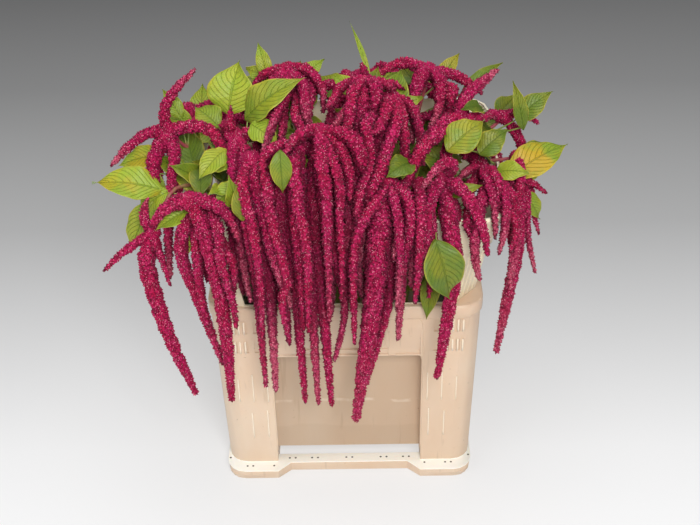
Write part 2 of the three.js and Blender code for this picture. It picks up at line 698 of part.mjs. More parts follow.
// Spaces the hanging tassels out so that none lies in another, in a stem or in the collar
function settleTassels(plants) {
  const stems = [];
  const beads = [];
  const chains = [];
  plants.forEach((plant, owner) => {
    for (const p of sampleCurve(stemCurve(plant), 7)) {
      stems.push({ p, r: STEM_RADIUS + 1, owner, fixed: true });
    }
    stems.push({ p: vector(plant.head), r: plant.knot, owner, fixed: true });
    plant.chains = plant.tassels.map(([radius, ...points]) => {
      const route = [plant.head, ...points].map(vector);
      const curve = new THREE.CatmullRomCurve3(route, false, 'centripetal');
      const samples = sampleCurve(curve, BEAD_SPACING);
      const chain = samples.map((p, i) => ({
        p, goal: p.clone(), owner, first: i === 0, near: i * BEAD_SPACING < plant.knot + 12,
        r: tasselRadius(radius, i / (samples.length - 1)) * (1 + FLORET_RELIEF),
      }));
      chains.push(chain);
      beads.push(...chain);
      return { radius, chain };
    });
  });
  const cell = 36;
  const key = (x, y, z) => (x * 73856093) ^ (y * 19349663) ^ (z * 83492791);
  const cellOf = (p) => [p.x, p.y, p.z].map((v) => Math.floor(v / cell));
  const push = new THREE.Vector3();
  const step = new THREE.Vector3();
  for (let round = 0; round < SETTLE_ROUNDS; round++) {
    const grid = new Map();
    for (const bead of [...stems, ...beads]) {
      const id = key(...cellOf(bead.p));
      if (!grid.has(id)) grid.set(id, []);
      grid.get(id).push(bead);
    }
    for (const bead of beads) {
      push.set(0, 0, 0);
      const [cx, cy, cz] = cellOf(bead.p);
      for (let n = 0; n < 27; n++) {
        const near = grid.get(key(cx + (n % 3) - 1, cy + (Math.floor(n / 3) % 3) - 1,
          cz + Math.floor(n / 9) - 1));
        for (const other of near ?? []) {
          if (other.owner === bead.owner && (!other.fixed || bead.near)) continue;
          if (other.owner === bead.owner && other.r > STEM_RADIUS + 1) continue;
          step.subVectors(bead.p, other.p);
          const gap = step.length() - bead.r - other.r - 0.8;
          if (gap < 0 && step.lengthSq() > 0) {
            push.addScaledVector(step.normalize(), other.fixed ? -gap : -gap / 2);
          }
        }
      }
      bead.shift = push.clone().clampLength(0, 5);
    }
    const ease = round < SETTLE_ROUNDS * 0.8 ? 1 : 0;
    for (const chain of chains) {
      chain.forEach((bead, i) => {
        if (bead.first) return;
        const prev = chain[i - 1];
        const next = chain[i + 1];
        bead.shift.addScaledVector(step.subVectors(bead.goal, bead.p), 0.02 * ease);
        if (next) {
          const bend = prev.goal.clone().add(next.goal).multiplyScalar(0.5).sub(bead.goal);
          const middle = prev.p.clone().add(next.p).multiplyScalar(0.5).sub(bend);
          bead.shift.addScaledVector(middle.sub(bead.p), 0.3);
        }
      });
    }
    for (const bead of beads) {
      if (bead.first) continue;
      bead.p.add(bead.shift);
      keepOutside(bead);
    }
  }
}

// A tassel that hangs outside the collar stays outside it, or lies over its edge
function keepOutside(bead) {
  const { p } = bead;
  const reach = bead.r + 1.2;
  const [hx, hy] = outsideAt(p.z);
  const up = COLLAR_TOP + reach - p.z;
  const acrossX = hx + reach - Math.abs(p.x);
  const acrossY = hy + reach - Math.abs(p.y);
  if (up <= 0 || acrossX <= 0 || acrossY <= 0) return;
  const least = Math.min(up, acrossX, acrossY);
  if (least > 60) return;
  if (least === up) p.z += up;
  else if (least === acrossX) p.x += Math.sign(p.x) * acrossX;
  else p.y += Math.sign(p.y) * acrossY;
}

// A closed tube along a curve. radiusAt gives each ring's radius from its share and number.
function tube(curve, sides, rings, radiusAt, twist = 0) {
  const frames = curve.computeFrenetFrames(rings, false);
  const position = [];
  const index = [];
  for (let i = 0; i <= rings; i++) {
    const center = curve.getPointAt(i / rings);
    const radius = radiusAt(i / rings, i);
    for (let k = 0; k < sides; k++) {
      const angle = (2 * Math.PI * (k + (i % 2) * twist)) / sides;
      const point = center.clone()
        .addScaledVector(frames.normals[i], radius * Math.cos(angle))
        .addScaledVector(frames.binormals[i], radius * Math.sin(angle));
      position.push(point.x, point.y, point.z);
    }
  }
  const at = (i, k) => i * sides + (k % sides);
  for (let i = 0; i < rings; i++) {
    const lean = twist && i % 2 ? 1 : 0;
    for (let k = 0; k < sides; k++) {
      if (lean) {
        index.push(at(i, k), at(i, k + 1), at(i + 1, k + 1));
        index.push(at(i, k), at(i + 1, k + 1), at(i + 1, k));
      } else {
        index.push(at(i, k), at(i, k + 1), at(i + 1, k));
        index.push(at(i, k + 1), at(i + 1, k + 1), at(i + 1, k));
      }
    }
  }
  const start = curve.getPointAt(0);
  const end = curve.getPointAt(1).addScaledVector(frames.tangents[rings], radiusAt(1, rings) * 0.6);
  const startIndex = position.length / 3;
  position.push(start.x, start.y, start.z, end.x, end.y, end.z);
  for (let k = 0; k < sides; k++) {
    index.push(startIndex, at(0, k + 1), at(0, k));
    index.push(startIndex + 1, at(rings, k), at(rings, k + 1));
  }
  const geometry = new THREE.BufferGeometry();
  geometry.setAttribute('position', new THREE.Float32BufferAttribute(position, 3));
  geometry.setIndex(index);
  return toManifold(geometry);
}

// A tassel of small round flowers: its rings swell and sink and each is turned by half a step
function tasselSolid({ radius, chain }, grow = 0) {
  const points = chain.filter((_, i) => i % 2 === 0 || i === chain.length - 1).map(({ p }) => p);
  const curve = new THREE.CatmullRomCurve3(points, false, 'centripetal');
  const length = curve.getLength();
  const rings = THREE.MathUtils.clamp(Math.round(length / (radius * RING_PITCH)), 4, 7);
  const radiusAt = (share, i) => {
    const relief = grow ? 1 + FLORET_RELIEF : 1 + (i % 2 ? FLORET_RELIEF : -FLORET_RELIEF);
    const wide = tasselRadius(radius, share) * relief;
    return grow ? (wide + grow) / Math.cos(Math.PI / 6) : wide;
  };
  if (grow) return tube(curve, 6, rings, radiusAt);
  return tube(curve, TASSEL_SIDES, rings, radiusAt, 0.5);
}

function knotSolid(plant, grow = 0) {
  const geometry = new THREE.OctahedronGeometry(plant.knot + grow, 1);
  const merged = BufferGeometryUtils.mergeVertices(stripped(geometry), 1e-3);
  const position = merged.attributes.position;
  const relief = grow ? 1 : FLORET_RELIEF;
  for (let i = 0; i < position.count && !grow; i++) {
    const swell = 1 - relief * 0.5 * (i % 2);
    const corner = new THREE.Vector3().fromBufferAttribute(position, i).multiplyScalar(swell);
    position.setXYZ(i, corner.x, corner.y, corner.z);
  }
  return toManifold(merged).translate(plant.head);
}

function stripped(geometry) {
  geometry.deleteAttribute('normal');
  geometry.deleteAttribute('uv');
  return geometry;
}

// A waved, cupped leaf blade of even thickness, the same triangles on both faces
function bladeSolid([base, tip, width], grow = 0) {
  const from = vector(base);
  const axis = vector(tip).sub(from);
  const length = axis.length();
  axis.normalize();
  const side = new THREE.Vector3().crossVectors(axis, LEAF_FACING).normalize();
  if (side.lengthSq() < 0.5) side.set(1, 0, 0);
  const normal = new THREE.Vector3().crossVectors(side, axis).normalize();
  const stations = length > 75 ? 4 : 3;
  const slim = width / length < 0.2;
  const half = LEAF_THICKNESS / 2 + grow;
  const position = [];
  for (const face of [1, -1]) {
    for (let i = 0; i <= stations; i++) {
      const t = i / stations;
      const shape = slim ? Math.sin(Math.PI * (0.12 + 0.8 * t)) : Math.sin(Math.PI * t ** 0.78);
      const reach = Math.max(0.6, (width / 2) * shape) + grow;
      const rise = length * LEAF_ARCH * Math.sin(Math.PI * t) - length * 0.1 * t * t;
      for (const edge of [-1, 0, 1]) {
        const wave = edge * (i % 2 ? 1 : -1) * LEAF_WAVE * width;
        const cup = Math.abs(edge) * LEAF_CUP * reach;
        const along = length * t + (t === 1 ? grow : 0);
        const point = from.clone()
          .addScaledVector(axis, along)
          .addScaledVector(side, edge * reach)
          .addScaledVector(normal, rise + cup + (t > 0 && t < 1 ? wave : 0) + face * half);
        position.push(point.x, point.y, point.z);
      }
    }
  }
  const index = [];
  const lower = (stations + 1) * 3;
  const at = (i, k) => i * 3 + k;
  for (let i = 0; i < stations; i++) {
    for (let k = 0; k < 2; k++) {
      const [a, b, c, d] = [at(i, k), at(i, k + 1), at(i + 1, k + 1), at(i + 1, k)];
      index.push(a, b, c, a, c, d);
      index.push(lower + a, lower + c, lower + b, lower + a, lower + d, lower + c);
    }
    const [l0, l1] = [at(i, 0), at(i + 1, 0)];
    const [r0, r1] = [at(i, 2), at(i + 1, 2)];
    index.push(l0, l1, lower + l1, l0, lower + l1, lower + l0);
    index.push(r0, lower + r1, r1, r0, lower + r0, lower + r1);
  }
  for (const [i, turn] of [[0, false], [stations, true]]) {
    for (let k = 0; k < 2; k++) {
      const [a, b] = [at(i, k), at(i, k + 1)];
      if (turn) index.push(a, b, lower + b, a, lower + b, lower + a);
      else index.push(a, lower + b, b, a, lower + a, lower + b);
    }
  }
  const geometry = new THREE.BufferGeometry();
  geometry.setAttribute('position', new THREE.Float32BufferAttribute(position, 3));
  geometry.setIndex(index);
  const solid = toManifold(geometry);
  if (solid.volume() > 0) return solid;
  for (let i = 0; i < index.length; i += 3) [index[i], index[i + 1]] = [index[i + 1], index[i]];
  geometry.setIndex(index);
  return toManifold(geometry);
}

function turnLeaf([base, tip, width], [turn, lift]) {
  const reach = vector(tip).sub(vector(base));
  const flat = Math.hypot(reach.x, reach.y);
  const heading = Math.atan2(reach.y, reach.x) + turn;
  const climb = Math.atan2(reach.z, flat) + lift;
  const length = reach.length();
  return [base, [
    base[0] + length * Math.cos(climb) * Math.cos(heading),
    base[1] + length * Math.cos(climb) * Math.sin(heading),
    base[2] + length * Math.sin(climb),
  ], width];
}

function isOutside(p) {
  const [hx, hy] = outsideAt(p.z);
  return p.z < COLLAR_TOP + 6 && (Math.abs(p.x) > hx || Math.abs(p.y) > hy);
}

// The leaf stalk runs from inside the blade's base to the nearest lower place on the stem
function petioleCurve(plant, [base, tip]) {
  const from = vector(base);
  const inBlade = from.clone().lerp(vector(tip), 0.06);
  const stem = stemCurve(plant);
  const rings = stemRings(plant);
  let root = stem.getPointAt((rings - 1) / rings);
  for (let i = 0; i < rings; i++) {
    const [low, high] = [stem.getPointAt(i / rings), stem.getPointAt((i + 1) / rings)];
    for (const share of [0, 0.25, 0.5, 0.75]) {
      const p = low.clone().lerp(high, share);
      const reachable = isOutside(from) ? p.z > COLLAR_TOP + 3 || isOutside(p) : p.z < from.z - 6;
      if (reachable && p.distanceTo(from) < root.distanceTo(from)) root = p;
    }
  }
  return new THREE.CatmullRomCurve3([inBlade, root], false, 'centripetal');
}

const stemRings = (plant) => (plant.over ? 7 : 5);

function greenTubes(plant, grow = 0) {
  const stem = stemCurve(plant);
  const stemSides = grow ? 6 : 4;
  const swell = grow ? 1 / Math.cos(Math.PI / 6) : 1;
  const stemRadius = (share) => (STEM_RADIUS * (1 - 0.3 * share) + grow) * swell;
  const petioleRadius = () => (PETIOLE_RADIUS + grow) * swell;
  const tubes = [tube(stem, stemSides, stemRings(plant), stemRadius)];
  for (const leaf of plant.leaves) {
    tubes.push(tube(petioleCurve(plant, leaf), grow ? 5 : 3, 1, petioleRadius));
  }
  return tubes;
}

const random = seededRandom(7);
const plants = [...PLANTS, ...BACK_PLANTS.map((plant) => growBackPlant(plant, random))];
settleTassels(plants);

const meets = (a, b) => {
  const [p, q] = [a.boundingBox(), b.boundingBox()];
  return [0, 1, 2].every((k) => p.min[k] <= q.max[k] && q.min[k] <= p.max[k]);
};
const cutBy = (solid, guards) => guards.reduce(
  (left, guard) => (meets(left, guard) ? left.subtract(guard) : left), solid);

const overlap = (solid, guards) => guards.reduce(
  (sum, guard) => sum + (meets(solid, guard) ? solid.intersect(guard).volume() : 0), 0);

const collarGuard = makeCollar(CLEARANCE);
const tasselGuards = plants.map((plant) => {
  const grown = plant.chains.map((chain) => tasselSolid(chain, CLEARANCE));
  return unite([knotSolid(plant, CLEARANCE + 0.6), ...grown]);
});
const placed = [];
for (const plant of plants) {
  plant.leaves = plant.leaves.map((leaf) => {
    let best = null;
    for (const turn of LEAF_TURNS) {
      const tried = turnLeaf(leaf, turn);
      const cost = overlap(bladeSolid(tried), [...tasselGuards, ...placed, collarGuard]);
      if (!best || cost < best.cost - 20) best = { tried, cost };
      if (best.cost < 1) break;
    }
    placed.push(bladeSolid(best.tried, CLEARANCE));
    return best.tried;
  });
}

const greenGuards = plants.map((plant) => unite(greenTubes(plant, CLEARANCE)));
const tasselNodes = plants.map((plant, number) => {
  const parts = plant.chains.map((chain) => tasselSolid(chain));
  const solid = unite([knotSolid(plant), ...parts]);
  const guards = [...greenGuards, ...tasselGuards.slice(0, number), collarGuard];
  return largestBody(cutBy(solid, guards));
});

const stemNodes = [];
const bladeGuards = [];
plants.forEach((plant, number) => {
  const others = greenGuards.filter((_, i) => i !== number);
  const tubes = cutBy(unite(greenTubes(plant)), [...greenGuards.slice(0, number), collarGuard]);
  const blades = cutBy(unite(plant.leaves.map((leaf) => bladeSolid(leaf))),
    [...tasselGuards, ...others, ...bladeGuards, collarGuard]);
  bladeGuards.push(unite(plant.leaves.map((leaf) => bladeSolid(leaf, CLEARANCE))));
  stemNodes.push(largestBody(tubes.add(blades)));
});

function makeWater() {
  const solid = insideShape(GAP, FLOOR_TOP + GAP, WATER_TOP);
  const holes = plants.map((plant) => {
    const route = sampleCurve(stemCurve(plant), 4);
    const section = (z) => {
      const spot = route.find((p) => p.z >= z) ?? route.at(-1);
      const ring = new THREE.CircleGeometry(STEM_RADIUS + HOLE_MARGIN, 5).attributes.position;
      return [1, 2, 3, 4, 5].map((k) => [spot.x + ring.getX(k), spot.y + ring.getY(k), z]);
    };
    return toManifold(loft([section(FLOOR_TOP - 1), section(WATER_TOP + 1)]));
  });
  return largestBody(solid.subtract(unite(holes)));
}

const plastic = (color) => new THREE.MeshStandardMaterial({ color, roughness: 0.5, metalness: 0 });
const leafGreen = new THREE.MeshStandardMaterial({ color: 0x8fa63c, roughness: 0.6, metalness: 0 });
const tasselRed = new THREE.MeshStandardMaterial({ color: 0x9c1a48, roughness: 0.9, metalness: 0 });
const clearWater = new THREE.MeshStandardMaterial({ color: 0xb9cbc4, roughness: 0.1, metalness: 0 });

const group = new THREE.Group();
function addPiece(name, solid, material) {
  const mesh = new THREE.Mesh(toGeometry(solid), material.clone());
  mesh.name = name;
  group.add(mesh);
}
addPiece('container', makeContainer(), plastic(0xe8cfb4));
addPiece('collar', makeCollar(), plastic(0xefe2c8));
addPiece('water', makeWater(), clearWater);
plants.forEach((_, i) => {
  const number = String(i + 1).padStart(2, '0');
  addPiece(`stem_${number}`, stemNodes[i], leafGreen);
  addPiece(`tassels_${number}`, tasselNodes[i], tasselRed);
});

// The origin is the middle of the whole object's footprint
const bounds = new THREE.Box3().setFromObject(group);
const middle = bounds.getCenter(new THREE.Vector3());
group.position.set(-middle.x, -middle.y, -bounds.min.z);
group.updateMatrixWorld(true);

export default group;
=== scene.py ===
"""Dresses a bunch of cut love-lies-bleeding that stands in a flower transport container.

Places are in millimetres about the middle of the container's floor, as in the part's own
source, and placed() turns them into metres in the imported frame.
"""

import functools
import math

import bmesh
import bpy
import numpy as np
from mathutils import Matrix, Vector, noise
from mathutils.kdtree import KDTree


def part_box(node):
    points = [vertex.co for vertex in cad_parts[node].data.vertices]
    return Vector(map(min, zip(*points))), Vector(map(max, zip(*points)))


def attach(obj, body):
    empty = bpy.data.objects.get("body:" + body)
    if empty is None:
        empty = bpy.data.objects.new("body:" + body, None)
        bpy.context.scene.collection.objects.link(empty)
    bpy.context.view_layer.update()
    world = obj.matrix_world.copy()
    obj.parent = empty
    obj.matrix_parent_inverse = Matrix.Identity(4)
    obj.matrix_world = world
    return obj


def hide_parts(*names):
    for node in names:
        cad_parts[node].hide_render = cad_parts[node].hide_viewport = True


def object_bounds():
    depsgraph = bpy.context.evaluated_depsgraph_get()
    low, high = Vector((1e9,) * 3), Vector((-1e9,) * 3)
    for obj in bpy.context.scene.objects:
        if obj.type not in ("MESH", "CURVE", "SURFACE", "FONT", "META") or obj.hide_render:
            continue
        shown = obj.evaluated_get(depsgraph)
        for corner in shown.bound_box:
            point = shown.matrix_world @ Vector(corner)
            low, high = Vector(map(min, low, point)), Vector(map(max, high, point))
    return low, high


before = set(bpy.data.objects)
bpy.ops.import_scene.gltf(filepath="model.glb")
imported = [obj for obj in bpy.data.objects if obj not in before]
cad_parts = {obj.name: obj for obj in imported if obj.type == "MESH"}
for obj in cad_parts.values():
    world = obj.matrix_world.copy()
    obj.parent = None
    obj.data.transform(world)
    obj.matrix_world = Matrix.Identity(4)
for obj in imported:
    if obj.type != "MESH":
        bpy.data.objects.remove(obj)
CAD_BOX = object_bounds()

CONTAINER_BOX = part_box("container")
ORIGIN = np.array([
    (CONTAINER_BOX[0][0] + CONTAINER_BOX[1][0]) / 2,
    (CONTAINER_BOX[0][1] + CONTAINER_BOX[1][1]) / 2,
    0.0,
])


def placed(points):
    """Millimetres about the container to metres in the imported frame."""
    return np.asarray(points, dtype=float) * 0.001 + ORIGIN


# Sizes shared with the part's own source, in millimetres
RING_TOP = 21
RIM_HALF = (202, 153.5)
FLOOR_TOP = 46
GAP = 0.3
COLLAR_BASE = 331.3
COLLAR_TOP = 512
COLLAR_OUTSIDE = (
    (331.3, 189.8, 143.8), (347, 191.5, 145.5), (439, 207, 161), (440, 211, 165),
    (446, 211, 165), (498, 224, 177), (508, 228, 181), (512, 226, 179),
)
STEM_RADIUS = 3.6
PETIOLE_RADIUS = 1.3
LEAF_THICKNESS = 0.8
CLEARANCE = 0.35
FLORET_RELIEF = 0.18
TASSEL_ROOT, FULLEST, TASSEL_TIP = 0.62, 0.14, 0.5
KNOT_REACH = 0.78
NECK_HEIGHT = 500
WAIST_HEIGHT = 262
WAIST_SCALE = 0.7
FOOT_SCALE = 0.6
BEAD_SPACING = 10
STEM_BEAD_SPACING = 7
# How the part's own source spaces its tassels out
SETTLE_ROUNDS = 160
LOOK_EVERY, LOOK_REACH = 10, 58
BEAD_ROOM, KNOT_ZONE, LONGEST_STEP = 0.8, 12, 5
WALL_ROOM, WALL_DEPTH = 1.2, 60
PULL_BACK, PULLED_SHARE, STIFFNESS = 0.02, 0.8, 0.3
PAIR_BLOCK = 400
LEAF_FACING = np.array([0, -0.6, 0.8])
LEAF_ARCH = 0.08
LEAF_WAVE = 0.05
LEAF_CUP = 0.22
SLIM_LEAF = 0.2
SAME_PLACE = 1e-4
# The camera that was fitted to the container's straight edges in the photo
FOCAL_PIXELS, PHOTO_WIDTH = 1300, 700
CAMERA_AT = (23.9, -1665.3, 1468.4)
AZIMUTH, ELEVATION, ROLL = (math.radians(v) for v in (-0.6, 34.55, -1.2))
# Each plant: where its stem passes the collar's mouth, where its flower head sits, then
# its tassels (radius, then points along it) and its leaves (base, tip, width).
PLANTS = [
  {
    "neck": [-178, -40], "head": [-244, -60, 590], "knot": 16,
    "tassels": [
      [8, [-246, -62, 625], [-226, -62, 658], [-200, -60, 684]],
      [8.5, [-268, -72, 596], [-295, -82, 582], [-322, -90, 556]],
      [11, [-264, -92, 560], [-264, -108, 530], [-258, -112, 484]],
      [9, [-232, -95, 575], [-238, -114, 540], [-240, -120, 495]],
      [9, [-215, -75, 606], [-180, -85, 608], [-152, -112, 575], [-150, -142, 532]],
    ],
    "leaves": [
      [[-226, -38, 598], [-252, -18, 636], 24], [[-212, -34, 596], [-262, -18, 584], 32],
      [[-252, -72, 560], [-314, -100, 548], 36], [[-262, -82, 540], [-282, -124, 488], 32],
    ],
  },
  {
    "neck": [-176, -120], "head": [-205, -180, 550], "knot": 14,
    "tassels": [
      [10, [-232, -188, 548], [-258, -192, 520]],
      [10, [-180, -192, 556], [-150, -204, 540], [-138, -210, 505]],
      [12, [-190, -200, 520], [-174, -210, 440], [-168, -214, 340], [-168, -216, 233]],
    ],
    "leaves": [
      [[-214, -178, 515], [-220, -198, 462], 26], [[-185, -160, 545], [-198, -190, 500], 28],
      [[-205, -170, 530], [-238, -205, 500], 30],
    ],
  },
  {
    "neck": [-180, -82], "over": [-232, -125, 536], "head": [-262, -165, 492], "knot": 11,
    "tassels": [
      [12, [-272, -185, 460], [-262, -202, 400], [-245, -212, 330], [-220, -216, 247]],
      [6.5, [-285, -178, 482], [-308, -186, 468], [-331, -190, 446]],
      [5.5, [-252, -188, 470], [-240, -205, 430]],
      [8, [-274, -160, 512], [-268, -152, 535]],
    ],
    "leaves": [
      [[-250, -118, 530], [-345, -100, 552], 50], [[-262, -130, 520], [-304, -150, 448], 42],
      [[-240, -120, 530], [-290, -125, 500], 34],
    ],
  },
  {
    "neck": [-145, -128], "head": [-172, -158, 536], "knot": 12,
    "tassels": [
      [10, [-205, -182, 532], [-222, -192, 480], [-205, -196, 400], [-178, -204, 290]],
      [9, [-190, -182, 520], [-200, -200, 440], [-194, -206, 360]],
    ],
    "leaves": [[[-160, -150, 540], [-175, -190, 560], 30]],
  },
  {
    "neck": [-115, -75], "head": [-150, -88, 598], "knot": 13,
    "tassels": [
      [6, [-152, -92, 622], [-150, -92, 644]],
      [9, [-148, -130, 585], [-142, -185, 540], [-135, -202, 470], [-125, -208, 405]],
      [10, [-128, -125, 590], [-128, -180, 555], [-114, -200, 460], [-104, -210, 370],
        [-103, -213, 247]],
    ],
    "leaves": [
      [[-160, -42, 606], [-144, -14, 676], 70], [[-136, -52, 602], [-44, -62, 664], 50],
      [[-126, -78, 610], [-86, -112, 608], 38], [[-146, -112, 580], [-192, -132, 570], 36],
      [[-160, -110, 588], [-184, -152, 558], 34], [[-172, -60, 596], [-206, -40, 622], 40],
    ],
  },
  {
    "neck": [-100, -122], "head": [-121, -158, 600], "knot": 13,
    "tassels": [
      [12, [-112, -190, 575], [-98, -205, 510], [-84, -212, 450], [-72, -214, 402]],
      [8, [-128, -185, 570], [-120, -200, 470], [-120, -206, 380], [-117, -210, 252]],
    ],
    "leaves": [
      [[-82, -150, 608], [-78, -190, 560], 30], [[-140, -172, 520], [-142, -176, 590], 32],
      [[-112, -172, 548], [-98, -202, 486], 26], [[-140, -160, 560], [-172, -182, 548], 34],
    ],
  },
  {
    "neck": [-60, -10], "head": [-75, 5, 650], "knot": 13,
    "tassels": [
      [8, [-105, 0, 650], [-125, -5, 632]],
      [8, [-50, -15, 662], [-28, -40, 645], [-25, -62, 620]],
      [9, [-75, -50, 645], [-92, -95, 622], [-108, -128, 590]],
      [9, [-55, -40, 650], [-48, -90, 632], [-40, -110, 600]],
    ],
    "leaves": [
      [[-58, 22, 625], [-26, 42, 652], 24], [[-106, 16, 632], [-118, 34, 680], 22],
      [[-95, 15, 626], [-138, 34, 642], 30],
    ],
  },
  {
    "neck": [-50, -110], "head": [-57, -145, 610], "knot": 14,
    "tassels": [
      [13, [-58, -178, 590], [-56, -198, 530], [-54, -208, 450], [-58, -214, 362]],
      [10, [-80, -172, 590], [-86, -196, 520], [-84, -206, 430], [-80, -208, 338]],
      [9, [-68, -176, 560], [-70, -200, 470], [-66, -208, 375], [-61, -211, 222]],
      [8, [-75, -160, 622], [-100, -180, 620], [-105, -195, 590]],
    ],
    "leaves": [[[-52, -135, 585], [-30, -170, 560], 26]],
  },
  {
    "neck": [-18, -95], "head": [-30, -136, 628], "knot": 13,
    "tassels": [
      [12, [-28, -172, 605], [-22, -198, 545], [-12, -208, 480], [-2, -212, 416]],
      [10, [-38, -168, 590], [-36, -196, 500], [-30, -204, 380], [-23, -212, 218]],
      [9, [-44, -176, 565], [-50, -200, 470], [-46, -208, 361], [-42, -211, 219]],
      [8, [-16, -172, 590], [-4, -196, 500], [-1, -206, 373], [-16, -209, 297]],
      [9, [-10, -160, 628], [8, -185, 605], [10, -200, 560]],
    ],
    "leaves": [[[-20, -110, 600], [0, -150, 585], 28]],
  },
  {
    "neck": [25, -50], "head": [33, -48, 654], "knot": 15,
    "tassels": [
      [14, [30, -85, 650], [22, -135, 610], [10, -180, 555], [-2, -204, 490]],
      [8, [5, -60, 660], [-12, -92, 648], [-18, -118, 655]],
      [7, [32, -44, 668], [29, -42, 680]],
      [9, [10, -95, 640], [-8, -140, 640]],
    ],
    "leaves": [[[46, -18, 628], [13, 44, 710], 8], [[20, -30, 625], [-12, -8, 652], 26]],
  },
  {
    "neck": [50, -80], "head": [68, -74, 642], "knot": 14,
    "tassels": [
      [13, [64, -110, 628], [52, -158, 580], [38, -198, 520], [26, -212, 470]],
      [9, [78, -95, 640], [86, -130, 600], [84, -150, 560]],
      [8, [92, -82, 640], [108, -110, 610], [110, -132, 575]],
    ],
    "leaves": [[[75, -60, 615], [110, -60, 640], 24]],
  },
  {
    "neck": [130, -50], "head": [165, -60, 600], "knot": 14,
    "tassels": [
      [12, [140, -96, 612], [108, -130, 602], [78, -165, 572], [52, -200, 532]],
      [10, [172, -30, 618], [196, 0, 626], [222, 30, 632]],
      [9, [150, -85, 585], [140, -120, 560], [128, -150, 570]],
      [8, [185, -50, 600], [205, -30, 588]],
    ],
    "leaves": [
      [[196, -40, 608], [168, -76, 630], 22], [[142, -128, 590], [194, -102, 626], 50],
      [[188, -110, 574], [226, -96, 606], 36],
    ],
  },
  {
    "neck": [95, 15], "head": [125, 22, 636], "knot": 13,
    "tassels": [
      [9, [85, 12, 656], [52, -6, 646]],
      [9, [165, 20, 630], [200, 20, 602]],
      [10, [108, -20, 645], [100, -62, 620], [98, -95, 590]],
      [9, [138, -15, 640], [136, -45, 615], [122, -70, 590]],
    ],
    "leaves": [
      [[142, 40, 610], [168, 54, 650], 24], [[172, 20, 600], [241, 26, 640], 20],
      [[105, 45, 604], [88, 78, 620], 34],
    ],
  },
  {
    "neck": [175, 20], "head": [238, 38, 552], "knot": 11,
    "tassels": [
      [7, [262, 46, 556], [292, 60, 530]],
      [8, [215, 15, 570], [205, -12, 575]],
      [8, [258, 20, 530], [272, 0, 480], [274, -5, 420]],
    ],
    "leaves": [
      [[262, -2, 552], [246, 4, 626], 22], [[252, 12, 560], [302, 22, 604], 36],
      [[230, 60, 540], [262, 95, 560], 34],
    ],
  },
  {
    "neck": [170, -65], "head": [208, -84, 528], "knot": 12,
    "tassels": [
      [6.5, [245, -76, 520], [270, -68, 502], [292, -62, 482]],
      [10, [200, -120, 530], [188, -160, 510], [180, -196, 470], [186, -200, 430]],
      [11, [236, -108, 510], [244, -135, 430], [232, -152, 345], [222, -156, 268]],
      [9, [222, -125, 515], [234, -165, 470], [232, -180, 400]],
      [8, [180, -105, 548], [160, -135, 552]],
      [8, [218, -118, 530], [222, -148, 526], [220, -178, 500], [214, -186, 462]],
    ],
    "leaves": [
      [[232, -84, 520], [322, -44, 560], 52], [[240, -50, 508], [292, -28, 500], 36],
      [[256, -66, 488], [290, -64, 436], 28], [[215, -100, 540], [250, -130, 545], 30],
    ],
  },
  {
    "neck": [178, -22], "head": [250, -34, 526], "knot": 10,
    "tassels": [
      [6, [268, -44, 492], [278, -58, 442], [286, -62, 412]],
      [6, [262, -60, 500], [266, -92, 430], [280, -90, 362]],
      [7, [255, -58, 500], [256, -88, 460], [258, -100, 410]],
      [8, [246, -75, 535], [240, -118, 524], [230, -150, 490], [228, -160, 462]],
    ],
    "leaves": [[[262, -20, 515], [300, -5, 535], 30]],
  },
  {
    "neck": [110, -118], "head": [137, -152, 560], "knot": 13,
    "tassels": [
      [12, [142, -188, 520], [152, -206, 460], [144, -212, 380], [131, -216, 270]],
      [9, [120, -186, 560], [112, -204, 510], [100, -210, 432]],
      [9, [160, -180, 560], [182, -196, 520], [196, -200, 470]],
      [8, [150, -160, 588], [128, -182, 600], [108, -200, 578]],
    ],
    "leaves": [
      [[146, -160, 538], [188, -158, 556], 18], [[124, -214, 504], [150, -227, 414], 58],
      [[126, -138, 398], [116, -180, 345], 28], [[134, -112, 380], [85, -118, 352], 30],
    ],
  },
  {
    "neck": [45, -120], "head": [60, -168, 568], "knot": 15,
    "tassels": [
      [16, [50, -200, 530], [44, -214, 450], [32, -218, 340], [13, -218, 195]],
      [9, [66, -196, 520], [64, -202, 420], [48, -200, 330], [28, -198, 242]],
      [9, [84, -190, 560], [84, -208, 470], [74, -214, 338]],
    ],
    "leaves": [[[92, -150, 586], [62, -190, 594], 34], [[88, -140, 566], [100, -182, 590], 26]],
  },
  {
    "neck": [78, -112], "head": [104, -160, 556], "knot": 12,
    "tassels": [
      [10, [98, -190, 530], [94, -206, 480], [88, -212, 430]],
      [8, [116, -188, 530], [120, -204, 470], [116, -212, 410]],
      [8, [92, -185, 535], [66, -205, 510], [56, -216, 480]],
    ],
    "leaves": [[[100, -130, 540], [122, -165, 548], 24]],
  },
]

# Plants behind the ones above: stem place and head, with tassels and leaves by rule
BACK_PLANTS = [
  { "neck": [-118, 28], "head": [-165, 36, 560] },
  { "neck": [-165, 72], "head": [-212, 96, 530] },
  { "neck": [-72, 98], "head": [-92, 140, 560] },
  { "neck": [10, 60], "head": [12, 104, 570] },
  { "neck": [72, 106], "head": [92, 158, 556] },
]
BACK_TASSELS = 2
BACK_LEAVES = 2
# Small turns about the vertical and lifts, in radians, that a leaf tries to lie clear
LEAF_TURNS = [
  [0, 0], [0.2, 0], [-0.2, 0], [0, 0.2], [0, -0.2], [0.2, 0.2], [-0.2, 0.2],
  [0.4, 0], [-0.4, 0], [0.4, 0.3], [-0.4, 0.3], [0, 0.45], [0, -0.45],
]


